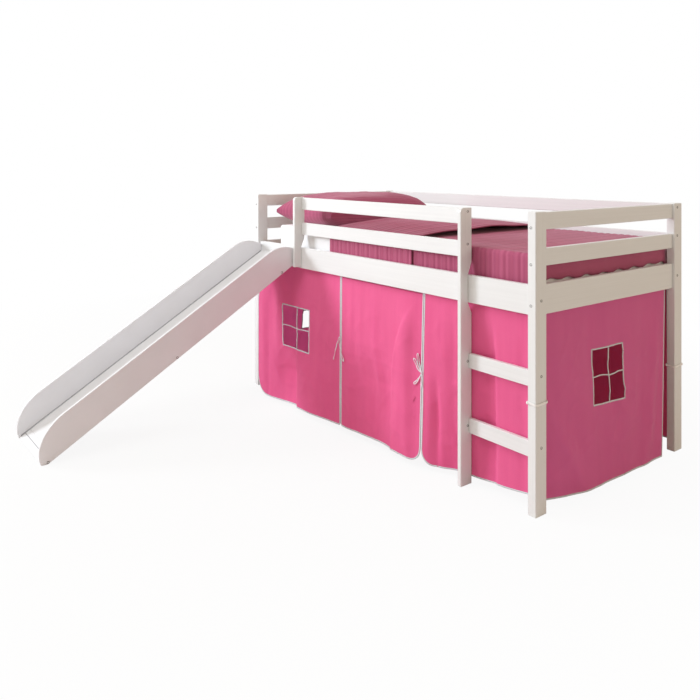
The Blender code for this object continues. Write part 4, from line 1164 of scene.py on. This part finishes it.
def draped(start_x, end_x, near, lift, drop_foot, seed):
    """A quilted cover over the mattress that drops at its sides and, if asked, at the foot."""
    low_x, high_x = start_x, end_x - (RIM if drop_foot else 0)
    low_y, high_y = near + RIM, BED_WIDTH - near - RIM
    middle_y, top_z = (low_y + high_y) / 2, MATTRESS_TOP_Z + QUILT_OVER
    across, deep = round((high_x - low_x) / (CHANNEL / 7)), round((high_y - low_y) / QUILT_PITCH)
    bm = bmesh.new()
    bmesh.ops.create_grid(bm, x_segments=across, y_segments=deep, size=1.0)
    for vert in bm.verts:
        a, b = (vert.co.x + 1) / 2, (vert.co.y + 1) / 2
        vert.co = (low_x + (high_x - low_x) * a, low_y + (high_y - low_y) * b, top_z + lift(a, b))
    skirt = []
    for edge in bm.edges:
        x = sum(vert.co.x for vert in edge.verts) / 2
        is_end = x - low_x < 1 * MM or (high_x - x < 1 * MM and not drop_foot)
        if edge.is_boundary and not is_end:
            skirt.append(edge)
    fallen = set()
    rings = len(SHOULDER_SHARES) + FALLS
    for number in range(rings):
        grown = bmesh.ops.extrude_edge_only(bm, edges=skirt)["geom"]
        fresh = {part for part in grown if isinstance(part, bmesh.types.BMVert)}
        skirt = [part for part in grown if isinstance(part, bmesh.types.BMEdge)
                 and all(vert in fresh for vert in part.verts)]
        fallen |= fresh
        for vert in fresh:
            x, y, z = vert.co
            on_foot = drop_foot and x > high_x - 0.5 * MM
            on_side = abs(y - middle_y) > (high_y - low_y) / 2 - 0.5 * MM
            if number < len(SHOULDER_SHARES):
                out, down = SHOULDER_SHARES[number]
                vert.co.z -= RIM * down
                if on_foot:
                    vert.co.x += RIM * out
                if on_side:
                    vert.co.y += math.copysign(RIM * out, y - middle_y)
                continue
            wavy = 6 * MM * noise.noise(Vector((x * 9, y * 9, seed)))
            if on_foot:
                wavy += SCALLOP * math.sin(y * 2 * math.pi / SCALLOP_PITCH)
            hem = DROP_FOOT_Z + wavy if on_foot and not on_side else DROP_SIDE_Z + wavy / 3
            vert.co.z += (hem - z) / (rings - number)
    bm.normal_update()
    bmesh.ops.recalc_face_normals(bm, faces=bm.faces)
    bm.normal_update()
    middle = Vector(((low_x + high_x) / 2, middle_y, top_z))
    top_face = min(bm.faces, key=lambda face: (face.calc_center_median() - middle).length)
    sign = math.copysign(1, top_face.normal.z)
    lay_uv(bm, lambda point: (
        point.x - start_x,
        point.y + (top_z - point.z) * (1 if point.y > middle_y else -1)))
    for vert in bm.verts:
        x, y, z = vert.co
        distance = x - start_x
        if drop_foot and x > high_x + RIM * 0.6:
            distance = high_x - start_x + top_z - z
        amount = PUFF * (puff(distance) - PUFF_MEAN)
        amount += 1.3 * MM * noise.fractal(Vector((x * 7, y * 5, seed)), 1.0, 2.0, 3)
        if vert in fallen:
            depth = max(0.0, (top_z - z) / (140 * MM))
            amount += 5 * MM * depth * noise.noise(Vector((x * 6, y * 6, seed + 3)))
        vert.co += vert.normal * sign * amount
    bmesh.ops.translate(bm, verts=bm.verts, vec=at(0, 0, 0))
    return bm


# %% [markdown]
# The quilt itself lies flat. The part that is folded back is a second cover on top of it, with its
# own height: full in the middle and flat at its sides.

# %% The quilt and its folded part
MATTRESS_WIDTH = 938 * MM
QUILT_X, FOLD_X = (706 * MM, 1954 * MM), (690 * MM, 1305 * MM)
FOLD_LIFT, FOLD_CROWN = 7 * MM, 42 * MM
FOLD_WAVE, FOLD_ROLL = 6 * MM, 9 * MM


def crown(a, b):
    """The folded part's own height: full in the middle, with its foot-side edge lifted."""
    across = max(0.0, math.sin(math.pi * b)) ** 0.6
    along = math.sin(math.pi * (0.12 + 0.76 * a)) ** 0.5
    slow = FOLD_WAVE * noise.noise(Vector((a * 3.1, b * 4.2, 9.0)))
    roll = FOLD_ROLL * swell(a, 0.05, 0.07) * across
    return FOLD_LIFT + PUFF * PUFF_MEAN + FOLD_CROWN * across * along + slow * across + roll


def add_cover(name, bm, stands_for):
    """A quilted cover with its thickness."""
    return add_piece(
        name, bm, QUILT_COTTON, "root", [stands_for], QUILT_THICKNESS)


quilt_near = (BED_WIDTH - MATTRESS_WIDTH) / 2 - 4 * MM
quilt = add_cover("quilt_cover", draped(
    *QUILT_X, quilt_near, lambda a, b: PUFF * PUFF_MEAN, True, 2.2), "quilt")
folded = add_cover("quilt_fold_cover", draped(
    *FOLD_X, quilt_near - 7 * MM, crown, False, 6.1), "quilt_fold")
print("quilt", len(quilt.data.polygons), "faces; fold", len(folded.data.polygons))

# %% [markdown]
# The pillow is a filled case: thick in the middle, thin at its seam, with sides that draw in
# between the corners. Two layers of one grid are swollen apart, and creases run in from the corners
# where the case is too big for its filling.

# %% The pillow
PILLOW_X, PILLOW_Y = 365 * MM, 485 * MM
PILLOW_LENGTH, PILLOW_DEPTH = 790 * MM, 520 * MM
PILLOW_UNDER, PILLOW_CROWN = 72 * MM, 96 * MM
DRAW_IN = 22 * MM
ROUND_OFF = 0.012
FAR_CORNER_IN = Vector((45 * MM, 35 * MM))
NEAR_CORNER_OUT = 9 * MM
SEAM_HALF = 8 * MM
PINCH, PINCHES = 5 * MM, 38
PILLOW_WAVE = 7 * MM
RIB, RIB_PITCH = 1.2 * MM, 24 * MM

bm = bmesh.new()
bmesh.ops.create_grid(bm, x_segments=56, y_segments=80, size=1.0)
grown = bmesh.ops.extrude_face_region(bm, geom=list(bm.faces))
under = {part for part in grown["geom"] if isinstance(part, bmesh.types.BMVert)}
seam_z = MATTRESS_TOP_Z + 0.3 * MM + PILLOW_UNDER
lay_uv(bm, lambda point: (point.x * PILLOW_DEPTH / 2, point.y * PILLOW_LENGTH / 2))
for vert in bm.verts:
    a = math.sin(vert.co.x * math.pi / 2)
    b = math.sin(vert.co.y * math.pi / 2)
    fill = max(0.0, (1 - a ** 4) * (1 - b ** 4)) ** 0.5
    tip = (abs(a) * abs(b)) ** 2
    x = a * (PILLOW_DEPTH / 2 - DRAW_IN * (1 - b * b)) * (1 - ROUND_OFF * tip ** 3)
    y = b * (PILLOW_LENGTH / 2 - DRAW_IN * (1 - a * a)) * (1 - ROUND_OFF * tip ** 3)
    inward = FAR_CORNER_IN * (max(0.0, a) * max(0.0, b)) ** 2
    outward = NEAR_CORNER_OUT * (max(0.0, -a) * max(0.0, -b)) ** 2
    x, y = x - inward.x - outward, y - inward.y - outward
    ray = math.atan2(y, x)
    pinch = PINCH * tip * math.sin(ray * PINCHES) * fill
    soft = PILLOW_WAVE * noise.fractal(Vector((x * 6, y * 6, 4.0)), 1.0, 2.0, 3) * fill
    ribbed = RIB * math.sin(2 * math.pi * x / RIB_PITCH) * fill
    if vert in under:
        z = seam_z - SEAM_HALF - (PILLOW_UNDER - SEAM_HALF) * min(1.0, fill * 1.3)
    else:
        z = seam_z + SEAM_HALF + PILLOW_CROWN * fill * (1 - 0.05 * a) + pinch + soft + ribbed
    vert.co = at(PILLOW_X + x, PILLOW_Y + y, z)
bmesh.ops.recalc_face_normals(bm, faces=bm.faces)
pillow = add_piece("pillow_case", bm, QUILT_COTTON, "root", ["pillow"])
print("pillow", len(pillow.data.polygons), "faces")

# %% [markdown]
# The bed stands on a plain pale floor in soft studio light. The main lamp, in front and to the
# left, lights the long side, so the foot end lies in soft shade as in the photograph. A high lamp
# and a weak one overhead light the bedding, and a weak warm one the foot end. The world fills the
# shade. What the camera sees of the world and most of what it sees of the floor is white, and the
# floor keeps a soft shadow.

# %% Floor, light and background
SHADOW_REACH = (1.2, 3.4)
SHADOW_WHITES = (0.9, 1.0)
LAMPS = (
    ("front_lamp", (-4.6, -5.2, 3.2), (0.9, 0.2, 0.5), 2.0, 435, "#F0F7FF"),
    ("high_lamp", (0.6, -2.6, 4.6), (1.0, 0.9, 0.8), 2.5, 88, "#F4F9FF"),
    ("side_lamp", (6.4, 3.4, 2.2), (1.9, 0.5, 0.4), 1.6, 36, "#FFE8CE"),
    ("top_lamp", (1.0, 0.5, 5.0), (1.0, 0.4, 0.0), 4.0, 15, "#FFFFFF"))

floor_bm = bmesh.new()
bmesh.ops.create_grid(floor_bm, x_segments=1, y_segments=1, size=40)
floor = bpy.data.objects.new("floor", mesh_of("floor", floor_bm, False))
bpy.context.scene.collection.objects.link(floor)
floor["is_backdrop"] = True

floor_finish, tree, shader, place = new_finish(
    "pale_floor", Roughness=0.9, Base_Color=linear("#E4E3E1"))
radius = add_node(
    tree, "ShaderNodeVectorMath", {"operation": "LENGTH"}, Vector=place.outputs["Object"])
fade = add_node(
    tree, "ShaderNodeMapRange", None, (radius.outputs["Value"], *SHADOW_REACH, *SHADOW_WHITES))
ray = add_node(tree, "ShaderNodeLightPath")
seen = combine(tree, "MULTIPLY", ray.outputs["Is Camera Ray"], fade.outputs["Result"])
white = add_node(tree, "ShaderNodeEmission", Strength=1.0)
blend_shaders(tree, seen, shader.outputs[0], white.outputs[0], "Material Output")
floor.data.materials.append(floor_finish)

world = bpy.data.worlds.new("studio")
bpy.context.scene.world = world
world.use_nodes = True
tree = world.node_tree
fill_light = tree.nodes["Background"]
fill_light.inputs["Color"].default_value = linear("#FFEBD4")
fill_light.inputs["Strength"].default_value = 0.49
plain = add_node(tree, "ShaderNodeBackground", Color=(1, 1, 1, 1), Strength=1.0)
ray = add_node(tree, "ShaderNodeLightPath")
either = combine(tree, "MAXIMUM", ray.outputs["Is Camera Ray"], ray.outputs["Is Glossy Ray"])
blend_shaders(tree, either, fill_light.outputs[0], plain.outputs[0], "World Output")

for name, place, aim, size, power, colour in LAMPS:
    data = bpy.data.lights.new(name, "AREA")
    data.size = size
    data.energy = power
    data.color = linear(colour)[:3]
    lamp = bpy.data.objects.new(name, data)
    lamp.location = place
    lamp.rotation_euler = (Vector(aim) - Vector(place)).to_track_quat("-Z", "Y").to_euler()
    bpy.context.scene.collection.objects.link(lamp)
print(len(LAMPS), "lamps placed")

# %% [markdown]
# The picture is shown as the colours are, with no film curve. The last lines print the CAD model's
# box and the dressed model's box side by side, so that the two can be compared.

# %% Finish
scene = bpy.context.scene
scene.view_settings.view_transform = "Standard"
size = {"cad": cad_box, "visual": [list(corner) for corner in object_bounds()]}
print(size)
